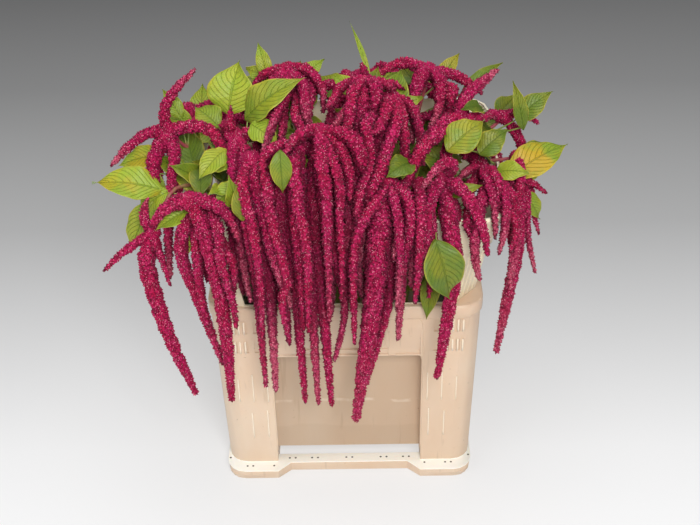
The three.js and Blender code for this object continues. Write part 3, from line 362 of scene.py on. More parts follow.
def seeded_random(seed):
    """The same small random generator as the part's source, so back plants agree."""
    state = seed & 0xFFFFFFFF

    def draw():
        nonlocal state
        state = (state + 0x6D2B79F5) & 0xFFFFFFFF
        t = state
        t = ((t ^ (t >> 15)) * (t | 1)) & 0xFFFFFFFF
        t ^= (t + ((t ^ (t >> 7)) * (t | 61) & 0xFFFFFFFF)) & 0xFFFFFFFF
        return (t ^ (t >> 14)) / 4294967296

    return draw


def grow_back_plant(plant, draw):
    head = plant["head"]
    out = math.atan2(head[1] + 20, head[0])

    def offset(angle, reach, drop):
        return [head[0] + reach * math.cos(angle), head[1] + reach * math.sin(angle), head[2] + drop]

    tassels = []
    for i in range(BACK_TASSELS):
        angle = out + (i - (BACK_TASSELS - 1) / 2) * 0.62 + (draw() - 0.5) * 0.3
        long = 110 + 90 * draw()
        radius = 8.5 + 3.5 * draw()
        tassels.append([radius, offset(angle, 34, 4), offset(angle, 70, -34),
                        offset(angle, 84, -34 - long * 0.45), offset(angle, 88, -34 - long)])
    leaves = []
    for i in range(BACK_LEAVES):
        angle = out + (i - (BACK_LEAVES - 1) / 2) * 1.1 + (draw() - 0.5) * 0.4
        lift = 10 + 40 * draw()
        leaves.append([offset(angle, 16, -26), offset(angle, 78, lift - 26), 34 + 14 * draw()])
    return {"neck": plant["neck"], "head": head, "knot": 13, "tassels": tassels, "leaves": leaves}


def unit(v):
    v = np.asarray(v, dtype=float)
    length = np.linalg.norm(v)
    return v / length if length > 1e-12 else v


class Curve:
    """A centripetal Catmull-Rom curve through points, walked by share of its length."""

    DIVISIONS = 200

    def __init__(self, points):
        self.points = np.asarray(points, dtype=float)
        steps = np.linspace(0, 1, self.DIVISIONS + 1)
        self.table = np.array([self._at(t) for t in steps])
        lengths = np.linalg.norm(np.diff(self.table, axis=0), axis=1)
        self.reach = np.concatenate([[0], np.cumsum(lengths)])
        self.length = self.reach[-1]

    def _at(self, t):
        pts = self.points
        last = len(pts) - 1
        place = last * t
        i = min(int(place), last - 1)
        w = place - i
        p1, p2 = pts[i], pts[i + 1]
        p0 = pts[i - 1] if i > 0 else 2 * pts[0] - pts[1]
        p3 = pts[i + 2] if i + 2 <= last else 2 * pts[last] - pts[last - 1]
        d0, d1, d2 = (np.dot(b - a, b - a) ** 0.25 for a, b in ((p0, p1), (p1, p2), (p2, p3)))
        d1 = 1.0 if d1 < 1e-4 else d1
        d0 = d1 if d0 < 1e-4 else d0
        d2 = d1 if d2 < 1e-4 else d2
        m1 = ((p1 - p0) / d0 - (p2 - p0) / (d0 + d1) + (p2 - p1) / d1) * d1
        m2 = ((p2 - p1) / d1 - (p3 - p1) / (d1 + d2) + (p3 - p2) / d2) * d1
        return (p1 + m1 * w + (-3 * p1 + 3 * p2 - 2 * m1 - m2) * w**2
                + (2 * p1 - 2 * p2 + m1 + m2) * w**3)

    def at(self, share):
        target = share * self.length
        i = int(np.searchsorted(self.reach, target, side="right")) - 1
        i = min(max(i, 0), self.DIVISIONS - 1)
        span = self.reach[i + 1] - self.reach[i]
        part = (target - self.reach[i]) / span if span > 0 else 0
        return self._at((i + part) / self.DIVISIONS)

    def spaced(self, count):
        return np.array([self.at(i / count) for i in range(count + 1)])

    def frames(self, count):
        """Points, tangents and two crosswise directions that don't spin along the curve."""
        shares = np.linspace(0, 1, count + 1)
        points = np.array([self.at(s) for s in shares])
        tangents = np.gradient(points, axis=0)
        tangents /= np.linalg.norm(tangents, axis=1)[:, None] + 1e-12
        first = unit(np.cross(tangents[0], [0.31, 0.83, 0.46]))
        normals = [first]
        for tangent in tangents[1:]:
            flat = normals[-1] - tangent * np.dot(normals[-1], tangent)
            normals.append(unit(flat))
        normals = np.array(normals)
        return points, tangents, normals, np.cross(tangents, normals)


def sample_curve(curve, spacing):
    return curve.spaced(max(3, int(math.floor(curve.length / spacing + 0.5))))


def stem_curve(plant):
    nx, ny = plant["neck"]
    head = np.array(plant["head"], dtype=float)
    over = plant.get("over")
    before = np.array(over if over else [nx, ny, NECK_HEIGHT], dtype=float)
    end = head + unit(before - head) * (plant["knot"] * KNOT_REACH + CLEARANCE)
    points = [
        [nx * FOOT_SCALE, ny * FOOT_SCALE, FLOOR_TOP + 3 * GAP],
        [nx * WAIST_SCALE, ny * WAIST_SCALE, WAIST_HEIGHT],
        [nx, ny, NECK_HEIGHT],
    ]
    if over:
        points.append(before)
    points.append(end)
    return Curve(points)


def tassel_radius(radius, share):
    """A tassel swells over its first part, and then tapers to its tip."""
    share = np.asarray(share, dtype=float)
    rising = radius * (TASSEL_ROOT + (1 - TASSEL_ROOT) * share / FULLEST)
    falling = radius * (1 + (TASSEL_TIP - 1) * (share - FULLEST) / (1 - FULLEST))
    return np.where(share < FULLEST, rising, falling)


def outside_at(z):
    """Half sizes of the collar's or container's outside at each height."""
    heights, *halves = np.array(COLLAR_OUTSIDE).T
    row = np.minimum(np.searchsorted(heights, z, side="left"), len(heights) - 1)
    return [np.where(z < COLLAR_BASE, rim, np.maximum(half[row], rim))
            for half, rim in zip(halves, RIM_HALF)]


def keep_outside(points, radii):
    """Moves what hangs outside the collar out of its wall, or up over its edge."""
    reach = radii + WALL_ROOM
    half_x, half_y = outside_at(points[:, 2])
    up = COLLAR_TOP + reach - points[:, 2]
    across_x = half_x + reach - np.abs(points[:, 0])
    across_y = half_y + reach - np.abs(points[:, 1])
    least = np.minimum(up, np.minimum(across_x, across_y))
    inside = (up > 0) & (across_x > 0) & (across_y > 0) & (least <= WALL_DEPTH)
    rise = inside & (least == up)
    aside = inside & ~rise & (least == across_x)
    front = inside & ~rise & ~aside
    points[rise, 2] += up[rise]
    points[aside, 0] += np.sign(points[aside, 0]) * across_x[aside]
    points[front, 1] += np.sign(points[front, 1]) * across_y[front]


def make_chains(plant, owner, routes):
    """A chain of beads down each route, with the radius at each bead."""
    chains = []
    for radius, *points in routes:
        curve = Curve([plant["head"], *points])
        beads = sample_curve(curve, BEAD_SPACING)
        shares = np.arange(len(beads)) / (len(beads) - 1)
        chains.append({
            "radius": radius, "points": beads, "owner": owner, "knot": plant["knot"],
            "radii": tassel_radius(radius, shares) * (1 + FLORET_RELIEF),
        })
    return chains


def per_bead(chains, key):
    """One row for each bead of the chains: its own, or its chain's where that has only one."""
    return np.concatenate([
        c[key] if np.ndim(c[key]) else np.full(len(c["points"]), c[key]) for c in chains])


def settle(chains, stems, fixed_chains=(), rounds=SETTLE_ROUNDS, own_too=False, bounds=None):
    """Spaces hanging tassels out so that none lies in another, in a stem or in the collar.

    stems is (points, radii, owners) of what never moves.
    """
    sizes = [len(c["points"]) for c in chains]
    points, radii, owners, knots = (
        per_bead(chains, key) for key in ("points", "radii", "owner", "knot"))
    goals = points.copy()
    order = np.concatenate([np.arange(size) for size in sizes])
    lanes = np.repeat(np.arange(len(chains)), sizes)
    first = order == 0
    near = order * BEAD_SPACING < knots + KNOT_ZONE
    rows = np.flatnonzero(~first & ~np.roll(first, -1))
    bend = (goals[rows - 1] + goals[rows + 1]) / 2 - goals[rows]

    still_points, still_radii, still_owners = (
        np.concatenate([own, per_bead(fixed_chains, key)]) if fixed_chains else own
        for own, key in zip(stems, ("points", "radii", "owner")))
    is_stem = np.arange(len(still_points)) < len(stems[0])
    is_head = is_stem & (still_radii > STEM_RADIUS + 1)
    for turn in range(rounds):
        if turn % LOOK_EVERY == 0:
            pairs = near_pairs(points, points, LOOK_REACH)
            same = owners[pairs[0]] == owners[pairs[1]]
            if own_too:
                same &= (lanes[pairs[0]] == lanes[pairs[1]]) | near[pairs[0]] | near[pairs[1]]
            pairs = pairs[:, ~same]
            still = near_pairs(points, still_points, LOOK_REACH)
            same = owners[still[0]] == still_owners[still[1]]
            skip = same & (near[still[0]] | is_head[still[1]])
            still = still[:, ~skip]
        shift = np.zeros_like(points)
        for (a, b), where, thick, share in (
            (pairs, points, radii, 0.5), (still, still_points, still_radii, 1.0),
        ):
            away = points[a] - where[b]
            distance = np.linalg.norm(away, axis=1)
            gap = distance - radii[a] - thick[b] - BEAD_ROOM
            hit = (gap < 0) & (distance > 0)
            push = away[hit] / distance[hit, None] * (-gap[hit] * share)[:, None]
            np.add.at(shift, a[hit], push)
        size = np.linalg.norm(shift, axis=1)
        shift *= np.minimum(1, LONGEST_STEP / np.maximum(size, 1e-9))[:, None]
        if turn < rounds * PULLED_SHARE:
            shift += PULL_BACK * (goals - points)
        middle = (points[rows - 1] + points[rows + 1]) / 2 - bend
        shift[rows] += STIFFNESS * (middle - points[rows])
        shift[first] = 0
        points += shift
        moved = points[~first]
        keep_outside(moved, radii[~first])
        if bounds:
            reach = radii[~first, None] + 2
            moved = np.clip(moved, bounds[0] + reach, bounds[1] - reach)
        points[~first] = moved
    for chain, settled in zip(chains, np.split(points, np.cumsum(sizes)[:-1])):
        chain["points"] = settled


def near_pairs(a, b, reach):
    """Index pairs (i, j) with a[i] and b[j] closer than reach, i and j apart if a is b."""
    found = []
    for start in range(0, len(a), PAIR_BLOCK):
        gaps = a[start:start + PAIR_BLOCK, None, :] - b[None, :, :]
        i, j = np.nonzero(np.einsum("ijk,ijk->ij", gaps, gaps) < reach * reach)
        found.append([i + start, j])
    pairs = np.concatenate(found, axis=1)
    return pairs[:, pairs[0] != pairs[1]] if a is b else pairs


def stem_obstacles(plants):
    """Points, radii and owners of beads down every stem, with the flower head at its end."""
    points, radii, owners = [], [], []
    for owner, plant in enumerate(plants):
        route = sample_curve(stem_curve(plant), STEM_BEAD_SPACING)
        points += [*route, plant["head"]]
        radii += [STEM_RADIUS + 1] * len(route) + [plant["knot"]]
        owners += [owner] * (len(route) + 1)
    return np.array(points, dtype=float), np.array(radii, dtype=float), np.array(owners)


draw = seeded_random(7)
plants = [*PLANTS, *(grow_back_plant(plant, draw) for plant in BACK_PLANTS)]
chains = [c for owner, plant in enumerate(plants)
          for c in make_chains(plant, owner, plant["tassels"])]
stems = stem_obstacles(plants)
settle(chains, stems)


def direction(heading, climb=0.0):
    """A unit vector by its heading round the vertical and its climb, in radians."""
    return np.array([math.cos(climb) * math.cos(heading), math.cos(climb) * math.sin(heading),
                     math.sin(climb)])


def turn_leaf(leaf, turn, lift):
    base, tip, width = leaf
    reach = np.subtract(tip, base).astype(float)
    heading = math.atan2(reach[1], reach[0]) + turn
    climb = math.atan2(reach[2], math.hypot(reach[0], reach[1])) + lift
    return base, base + direction(heading, climb) * np.linalg.norm(reach), width


class Blade:
    """A leaf's surface: at() gives the point for shares along it and -1 to 1 across it."""

    def __init__(self, base, tip, width):
        base, tip = (np.array(end, dtype=float) for end in (base, tip))
        self.base, self.width = base, width
        self.length = np.linalg.norm(tip - base)
        self.axis = (tip - base) / self.length
        side = unit(np.cross(self.axis, LEAF_FACING))
        self.side = side if np.dot(side, side) > 0.5 else np.array([1.0, 0, 0])
        self.normal = unit(np.cross(self.side, self.axis))
        self.middle = base + self.axis * self.length / 2
        self.slim = width / self.length < SLIM_LEAF

    def shape(self, t):
        if self.slim:
            return np.sin(np.pi * (0.12 + 0.8 * t))
        return np.sin(np.pi * t**0.78)

    def at(self, t, across, height=0.0):
        reach = np.maximum(0.6, self.width / 2 * self.shape(t))
        rise = self.length * (LEAF_ARCH * np.sin(np.pi * t) - 0.1 * t * t)
        cup = np.abs(across) * LEAF_CUP * reach
        return (self.base + self.axis * (self.length * t)[..., None]
                + self.side * (across * reach)[..., None]
                + self.normal * (rise + cup + height)[..., None])

    def source_corners(self):
        """The upper corners that the part's own source gives this leaf."""
        stations = 4 if self.length > 75 else 3
        t, across = np.meshgrid(np.arange(stations + 1) / stations, [-1, 0, 1], indexing="ij")
        sign = np.where(np.arange(stations + 1) % 2, 1, -1)[:, None]
        wave = across * sign * LEAF_WAVE * self.width * ((t > 0) & (t < 1))
        return self.at(t, across, wave + LEAF_THICKNESS / 2).reshape(-1, 3)


def settle_leaves(plant, node):
    """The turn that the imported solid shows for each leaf, found by its corners there."""
    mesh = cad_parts[node].data
    tree = KDTree(len(mesh.vertices))
    for i, vertex in enumerate(mesh.vertices):
        tree.insert(vertex.co, i)
    tree.balance()
    blades = []
    for leaf in plant["leaves"]:
        turned = [Blade(*turn_leaf(leaf, turn, lift)) for turn, lift in LEAF_TURNS]
        blades.append(max(turned, key=lambda blade: sum(
            tree.find(Vector(corner))[2] < SAME_PLACE for corner in placed(blade.source_corners()))))
    return blades


def node_name(kind, number):
    return f"{kind}_{number + 1:02d}"


blades = [settle_leaves(plant, node_name("stem", i)) for i, plant in enumerate(plants)]


def curtain_route(head, i, count, draw):
    """Down before the collar, as number i of count across the plant's part of the curtain."""
    radius = 7 + 3.5 * draw()
    aside = CURTAIN_SPREAD * ((i + draw()) / count - 0.5)
    foot = CURTAIN_FOOT - (60 if head[0] > 0 else 110) * draw()
    front = CURTAIN_FRONT - 12 * draw()
    return [radius, head + [aside * 0.5, (front - head[1]) * 0.6, -8],
            [head[0] + aside, front, head[2] - 56],
            [head[0] + aside * 1.1, front - 2, (head[2] + foot) / 2 - 30],
            [head[0] + aside * 1.15, front - 4, foot]]


def arching_route(head, taken, draw):
    """Out of the flower head on its emptiest side, and down; high heads keep to the front."""
    radius = 7 + 3.5 * draw()
    spread = CROWN_SPREAD if head[2] > CROWN_HEIGHT and head[1] > CROWN_BACK else math.pi
    angle = max(
        (spread * (2 * draw() - 1) - math.pi / 2 for _ in range(12)),
        key=lambda a: min(abs(math.remainder(a - b, 2 * math.pi)) for b in taken))
    taken.append(angle)
    way = direction(angle)
    reach = 46 + 30 * draw()
    fall = 50 + 90 * draw()
    return [radius, head + way * reach * 0.5 + [0, 0, 1],
            head + way * reach + [0, 0, -18],
            head + way * reach * 1.3 + [0, 0, -14 - fall * 0.5],
            head + way * reach * 1.4 + [0, 0, -14 - fall]]


def more_routes(plant, count, draw):
    """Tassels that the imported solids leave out: they close the gaps round each flower head."""
    head = np.array(plant["head"], dtype=float)
    taken = [math.atan2(t[2][1] - head[1], t[2][0] - head[0]) for t in plant["tassels"]]
    if head[1] < CURTAIN_HEADS:
        return [curtain_route(head, i, count, draw) for i in range(count)]
    return [arching_route(head, taken, draw) for _ in range(count)]


# The curtain of tassels before the collar, from flower heads nearer than CURTAIN_HEADS
CURTAIN_HEADS, CURTAIN_FRONT = -130, -172
CURTAIN_SPREAD, CURTAIN_FOOT = 78, 460
# Heads above this height and behind this line turn their side tassels to the front
CROWN_HEIGHT, CROWN_BACK, CROWN_SPREAD = 615, -100, 1.3
# How many further tassels each plant gets
MORE_TASSELS = (0, 2, 0, 4, 2, 6, 4, 6, 6, 5, 5, 2, 4, 1, 1, 0, 3, 6, 5, 3, 2, 3, 4, 4)

# Side tassels at set places, by plant, where the others leave the collar's mouth open
SET_ROUTES = {
    3: [[8, [-168, -188, 532], [-160, -206, 500], [-154, -222, 450], [-151, -226, 372]],
        [8, [-184, -184, 522], [-176, -202, 480], [-171, -208, 440], [-170, -212, 396]]],
    5: [[8, [-104, -192, 580], [-92, -216, 520], [-84, -224, 450], [-79, -224, 340]],
        [8, [-124, -188, 582], [-118, -214, 520], [-114, -222, 440], [-116, -224, 352]]],
    6: [[9, [-62, -40, 648], [-52, -85, 634], [-46, -120, 622], [-44, -150, 606]],
        [8, [-88, -45, 640], [-84, -95, 622], [-82, -132, 596]],
        [8, [-60, -22, 650], [-48, -52, 640], [-46, -76, 620], [-48, -92, 588]]],
    7: [[8, [-44, -180, 596], [-46, -212, 540], [-50, -224, 460], [-52, -224, 362]]],
    8: [[8, [-8, -165, 600], [6, -186, 540], [6, -192, 470], [8, -196, 400]],
        [7, [-18, -176, 610], [-8, -206, 550], [-2, -220, 480], [-3, -220, 415]],
        [8, [-28, -184, 604], [-24, -212, 545], [-20, -222, 470], [-21, -224, 380]]],
    9: [[9, [28, -100, 640], [18, -150, 600], [10, -184, 560], [14, -192, 500], [24, -196, 400]],
        [8, [20, -90, 645], [8, -140, 612], [2, -178, 575], [4, -190, 520], [6, -194, 450]]],
    10: [[9, [60, -120, 622], [48, -170, 575], [38, -188, 520], [34, -194, 440]]],
    14: [[8, [207, -120, 534], [214, -150, 522], [224, -172, 490], [226, -176, 462]],
         [8, [190, -118, 536], [180, -150, 528], [174, -182, 505], [173, -188, 472]],
         [7, [200, -118, 536], [204, -150, 530], [206, -178, 512], [207, -184, 486]]],
    17: [[7, [66, -198, 556], [74, -218, 500], [74, -224, 440], [72, -224, 400]],
         [7, [40, -200, 560], [20, -214, 520], [14, -222, 460], [13, -224, 338]]],
    18: [[7, [110, -196, 545], [104, -218, 500], [100, -224, 450], [97, -224, 408]]],
}

more = seeded_random(29)
more_chains = []
for owner, plant in enumerate(plants):
    at_set_places = SET_ROUTES.get(owner, [])
    routes = at_set_places + more_routes(plant, MORE_TASSELS[owner], more)
    for i, chain in enumerate(make_chains(plant, owner, routes)):
        more_chains.append({**chain, "set": i < len(at_set_places)})
leaf_spots = np.concatenate([
    b.at(*np.meshgrid([0.15, 0.4, 0.65, 0.9], [-0.7, 0.0, 0.7])).reshape(-1, 3)
    for group in blades for b in group])
# Leaves belong to no plant here, so that every tassel keeps this far from them
LEAF_ROOM, NOBODY = 4.0, -1
obstacles = [np.concatenate([own, leafy]) for own, leafy in zip(
    stems, (leaf_spots, *(np.full(len(leaf_spots), v) for v in (LEAF_ROOM, NOBODY))))]
low, high = ((np.array(corner) - ORIGIN) * 1000 for corner in CAD_BOX)
settle(more_chains, obstacles, fixed_chains=chains, rounds=120, own_too=True,
       bounds=(low, high))

# A side tassel this short is left out, and leaves hide what hangs within this share of them
SHORTEST_TASSEL, SHOWN_SHARE = 55, 0.27
shown = [blade for group in blades[:len(PLANTS)] for blade in group]
shown_at = np.array([blade.at(np.array(0.5), np.array(0.0)) for blade in shown])
shown_reach = np.array([SHOWN_SHARE * blade.length for blade in shown])


def clear_of_leaves(chain):
    """Cuts a side tassel off where it would hang before a leaf that faces the camera.

    The tassels at set places stay whole.
    """
    if chain["set"]:
        return True
    seen = chain["points"] - CAMERA_AT
    leaf_way = shown_at - CAMERA_AT
    distance, leaf_distance = (np.linalg.norm(v, axis=1) for v in (seen, leaf_way))
    cosine = (seen / distance[:, None]) @ (leaf_way / leaf_distance[:, None]).T
    apart = np.arccos(np.clip(cosine, -1, 1)) * leaf_distance
    veils = (apart < shown_reach + chain["radius"]) & (distance[:, None] < leaf_distance)
    hidden = np.flatnonzero(veils.any(axis=1))
    if len(hidden):
        chain["points"] = chain["points"][:hidden[0]]
    return len(chain["points"]) * BEAD_SPACING > SHORTEST_TASSEL


more_chains = [chain for chain in more_chains if clear_of_leaves(chain)]
for lane, chain in enumerate(chains + more_chains):
    chain["lane"] = lane
tassel_points, tassel_radii, tassel_lanes = (
    per_bead(chains + more_chains, key) for key in ("points", "radius", "lane"))
heads = np.array([plant["head"] for plant in plants], dtype=float)


def is_free(blade):
    """True where no tassel, flower head or collar wall passes through a leaf."""
    t, across = np.meshgrid([0.1, 0.4, 0.7, 1.0], [-0.8, 0.0, 0.8])
    spots = blade.at(t, across).reshape(-1, 3)
    room = min((np.linalg.norm(spots[:, None] - others[None], axis=2) - reach).min()
               for others, reach in ((tassel_points, tassel_radii), (heads, HEAD_REACH)))
    walled = (spots[:, 2] < COLLAR_TOP + 8) & (abs(spots[:, :2]) > INSIDE_HALF).any(axis=1)
    boxed = (spots > low + 4).all() and (spots < high - 4).all()
    return room > 1 and not walled.any() and boxed


def fill_leaves(plant, count, draw):
    """Leaves lower on a stem, inside the bunch, where there is room between the tassels."""
    stem, found = stem_curve(plant), []
    for _ in range(70):
        root = stem.at(0.62 + 0.36 * draw())
        way = direction(2 * math.pi * draw(), 0.1 + 0.9 * draw())
        length = 48 + 34 * draw()
        base = root + way * (10 + 14 * draw())
        blade = Blade(base, base + way * length, length * (0.5 + 0.14 * draw()))
        if root[2] > LOWEST_LEAF and is_free(blade) and all(
                np.linalg.norm(blade.middle - other.middle) > LEAF_SPACING for other in found):
            found.append(blade)
        if len(found) == count:
            break
    return found


# Room round the leaves inside the bunch, in millimetres
HEAD_REACH, LEAF_SPACING, LOWEST_LEAF = 17, 24, 440
INSIDE_HALF = (200, 152)
filling = seeded_random(61)
FILL_COUNTS = [5 if x < -90 else 4 if x > 120 else 2 if y > -60 else 0
               for x, y, _ in (plant["head"] for plant in plants)]
fillers = [fill_leaves(plant, count, filling) for plant, count in zip(plants, FILL_COUNTS)]
# Two leaves that the photo shows before the middle tassels
fillers[5] += [Blade([-79, -200, 638], [-77, -218, 581], 29),
               Blade([-132, -212, 537], [-134, -208, 598], 26)]


def linear(red, green, blue):
    """A colour as seen on a screen, 0 to 255, as the shader's own numbers."""
    shares = [v / 255 for v in (red, green, blue)]
    return [s / 12.92 if s <= 0.04045 else ((s + 0.055) / 1.055) ** 2.4 for s in shares] + [1.0]


# Half sizes of the recess panels, heights of their marks and the drain holes' edge, in metres
PANEL_HALF = (0.1142, 0.112)
TIDE_HEIGHT, SCUFF_HEIGHT = 0.098, 0.142
HOLE_EDGE = (0.0013, 0.002)
# Side veins on each half of a leaf, and how they lean and curve towards its tip
VEINS, VEIN_LEAN, VEIN_CURVE = 10, 0.33, 1.25


class Shader:
    """A material and short calls that add and join its nodes."""

    def __init__(self, name, slot, **uniform):
        self.material = bpy.data.materials.new(name)
        self.material.use_nodes = True
        self.tree = self.material.node_tree
        self.tree.nodes.clear()
        self.surface = self.add("ShaderNodeBsdfPrincipled", {
            key.replace("_", " "): value for key, value in uniform.items()})
        output = self.add("ShaderNodeOutputMaterial")
        self.tree.links.new(self.surface.outputs[0], output.inputs["Surface"])
        self.slot = slot

    def set(self, node, key, value):
        socket = node.inputs[key]
        if isinstance(value, bpy.types.NodeSocket):
            self.tree.links.new(value, socket)
        else:
            socket.default_value = value

    def add(self, kind, inputs=None, **settings):
        node = self.tree.nodes.new(kind)
        for key, value in settings.items():
            setattr(node, key, value)
        for key, value in (inputs or {}).items():
            self.set(node, key, value)
        return node

    def math(self, operation, a, b=0.0):
        return self.add("ShaderNodeMath", {0: a, 1: b}, operation=operation).outputs[0]

    def times(self, *values):
        return functools.reduce(lambda a, b: self.math("MULTIPLY", a, b), values)

    def less(self, value):
        """What the value leaves of 1."""
        return self.math("SUBTRACT", 1.0, value)

    def off(self, value, centre):
        """How far the value lies from a centre."""
        return self.math("ABSOLUTE", self.math("SUBTRACT", value, centre))

    def mix(self, share, first, second):
        """A colour between two, where the share may be several that multiply."""
        if isinstance(share, tuple):
            share = self.times(*share)
        node = self.add("ShaderNodeMix", {0: share, 6: first, 7: second}, data_type="RGBA")
        return node.outputs[2]

    def mix_number(self, share, first, second):
        node = self.add("ShaderNodeMix", {0: share, 2: first, 3: second}, data_type="FLOAT")
        return node.outputs[0]

    def ramp(self, value, low, high):
        """0 below low, 1 above high, smooth between."""
        node = self.add("ShaderNodeMapRange", {0: value, 1: low, 2: high},
                        interpolation_type="SMOOTHSTEP")
        return node.outputs[0]

    def place(self):
        return self.add("ShaderNodeTexCoord").outputs["Object"]

    def noise(self, scale, detail=3.0, stretch=None, rough=0.5):
        where = self.place()
        if stretch:
            where = self.add("ShaderNodeMapping", {0: where, 3: stretch}).outputs[0]
        node = self.add("ShaderNodeTexNoise",
                        {"Vector": where, "Scale": scale, "Detail": detail, "Roughness": rough})
        return node.outputs[0]

    def own(self, name):
        """A number stored on the mesh."""
        return self.add("ShaderNodeAttribute", attribute_name=name).outputs["Fac"]

    def container_tones(self, colour, soil_and_shade):
        """Painted light on the top of the base ring, and painted shade on the panels inside the wide
        recesses.
        """
        x, y, high = self.add("ShaderNodeSeparateXYZ", {0: self.place()}).outputs
        panel = self.times(self.math("LESS_THAN", self.off(x, float(ORIGIN[0])), PANEL_HALF[0]),
                           self.math("LESS_THAN", self.off(y, float(ORIGIN[1])), PANEL_HALF[1]))
        tide = self.ramp(self.math("ADD", high, self.times(self.noise(9.0), 0.03)),
                         TIDE_HEIGHT, TIDE_HEIGHT + 0.006)
        # Painted shade: the panels inside the recesses are darkened towards the dark plastic colour
        colour = self.mix((panel, 0.34), colour, soil_and_shade)
        colour = self.mix((self.less(tide), panel, 0.1), colour, soil_and_shade)
        wavy = self.math("ADD", high, self.times(self.noise(16.0, 2.0), 0.012))
        scuff = self.times(self.less(self.ramp(self.off(wavy, SCUFF_HEIGHT), 0.0008, 0.0045)),
                           self.ramp(self.noise(40.0, 4.0), 0.4, 0.6))
        colour = self.mix((scuff, panel, 0.35), colour, linear(236, 222, 200))
        # Painted light: the base ring's top, lit from above, is near white
        ring = self.math("LESS_THAN", self.off(high, RING_TOP / 1000 - 0.0002), 0.0012)
        return self.mix((ring, 0.95), colour, linear(255, 252, 240))

    def bump(self, height, distance, strength=1.0):
        node = self.add("ShaderNodeBump",
                        {"Height": height, "Distance": distance, "Strength": strength})
        self.set(self.surface, "Normal", node.outputs[0])


def tassel_shader():
    """Crimson flowers: painted shade between the tassels and at the flowers' feet, pinker towards
    their tips, with pale specks.
    """
    s = Shader("Crimson flowers", "flower_tassel", Roughness=0.7, Specular_IOR_Level=0.16,
               Sheen_Weight=0.08, Sheen_Roughness=0.45)
    s.set(s.surface, "Sheen Tint", linear(255, 150, 180))
    grain, tip, shade, along = s.own("grain"), s.own("tip"), s.own("shade"), s.own("along")
    drift = s.noise(22.0, 2.0)
    # Painted shade: where tip is low, at the flowers' feet and between clumps, the colour goes to
    # this dark crimson
    crevice_shade = s.mix(shade, linear(70, 0, 20), linear(84, 1, 30))
    full = s.mix(grain, linear(190, 8, 74), linear(240, 52, 124))
    full = s.mix((s.ramp(drift, 0.35, 0.7), 0.5), full, linear(206, 12, 62))
    full = s.mix((shade, 0.35), full, linear(170, 8, 88))
    colour = s.mix(tip, crevice_shade, full)
    rosy = s.times(s.ramp(along, 0.5, 0.95), s.ramp(shade, 0.35, 0.8))
    colour = s.mix((rosy, tip, 0.7), colour, linear(216, 116, 132))
    pale_share = s.math("ADD", grain, s.times(rosy, 0.2))
    speck = (s.ramp(pale_share, 0.93, 0.96), s.ramp(tip, 0.5, 1.0), 0.8)
    colour = s.mix(speck, colour, linear(228, 142, 158))
    fine = s.add("ShaderNodeTexVoronoi", {"Vector": s.place(), "Scale": 620.0})
    colour = s.mix((s.less(s.ramp(fine.outputs["Color"], 0.3, 0.55)), 0.28), colour,
                   linear(92, 4, 36))
    anther = (s.less(s.ramp(fine.outputs["Distance"], 0.2, 0.42)),
              s.ramp(fine.outputs["Color"], s.mix_number(rosy, 0.66, 0.5), 0.76), 0.8)
    colour = s.mix(anther, colour, linear(246, 186, 196))
    # Painted shade: darker where other tassels close round a spot
    colour = s.mix((s.ramp(s.own("sunk"), 0.4, 1.3), 0.55), colour, linear(58, 0, 20))
    s.set(s.surface, "Base Color", colour)
    s.bump(fine.outputs["Distance"], 0.0006, 0.7)
    return s


def leaf_shader():
    """A leaf blade with curved side veins, a midrib, a yellow edge and a paler back."""
    s = Shader("Leaf blade", "leaf_and_stem", Roughness=0.48, Specular_IOR_Level=0.4,
               Subsurface_Weight=0.12, Subsurface_Scale=0.002, Subsurface_Radius=[0.6, 1.0, 0.2])
    along, across, under = s.own("along"), s.own("across"), s.own("under")
    age, tone = s.own("age"), s.own("tone")
    width = s.math("ABSOLUTE", across)
    lean = s.times(s.math("POWER", width, VEIN_CURVE), -VEIN_LEAN)
    beat = s.math("FRACT", s.times(s.math("ADD", along, lean), float(VEINS)))
    vein = s.times(s.less(s.ramp(s.off(beat, 0.5), 0.02, 0.1)), s.less(s.ramp(width, 0.8, 1.0)))
    rib = s.less(s.ramp(width, 0.015, 0.06))
    lines = s.math("MAXIMUM", s.times(vein, 0.75), rib)
    patch = s.noise(30.0, 4.0)
    net = s.add("ShaderNodeTexVoronoi", {"Vector": s.place(), "Scale": 420.0},
                feature="DISTANCE_TO_EDGE")
    # A high tone gives darker green: at random on most leaves, and painted shade on shaded plants
    # and on the leaves inside the bunch
    fresh = s.mix(tone, linear(148, 170, 42), linear(70, 96, 20))
    gold = s.mix(tone, linear(172, 178, 44), linear(122, 124, 14))
    blade = s.mix((s.ramp(patch, 0.42, 0.72), 0.5), fresh, gold)
    blade = s.mix((s.ramp(net.outputs["Distance"], 0.0, 0.12), 0.1), blade, linear(184, 198, 80))
    blade = s.mix((age, s.ramp(patch, 0.4, 0.6)), blade, linear(196, 152, 26))
    blade = s.mix((lines, 0.32), blade, linear(74, 104, 34))
    edge = s.ramp(s.math("ADD", width, s.times(patch, 0.2)), 0.98, 1.12)
    blade = s.mix((edge, 0.55), blade, linear(206, 186, 70))
    back = s.mix((lines, 0.7), linear(142, 164, 106), linear(186, 200, 150))
    s.set(s.surface, "Base Color", s.mix(under, blade, back))
    height = s.math("SUBTRACT", s.times(net.outputs["Distance"], 0.25), lines)
    s.bump(height, 0.0014, 0.9)
    return s


def stalk_shader():
    """Ribbed green stems, redder near the flowers."""
    s = Shader("Stem", "leaf_and_stem", Roughness=0.5, Specular_IOR_Level=0.4)
    streak = s.noise(260.0, 3.0, stretch=(1.0, 1.0, 0.06))
    red = s.ramp(s.math("ADD", s.own("along"), s.times(streak, 0.3)), 0.85, 1.15)
    green = s.mix(streak, linear(104, 132, 52), linear(160, 172, 88))
    s.set(s.surface, "Base Color", s.mix(red, green, linear(150, 60, 72)))
    s.bump(streak, 0.0006, 0.6)
    return s


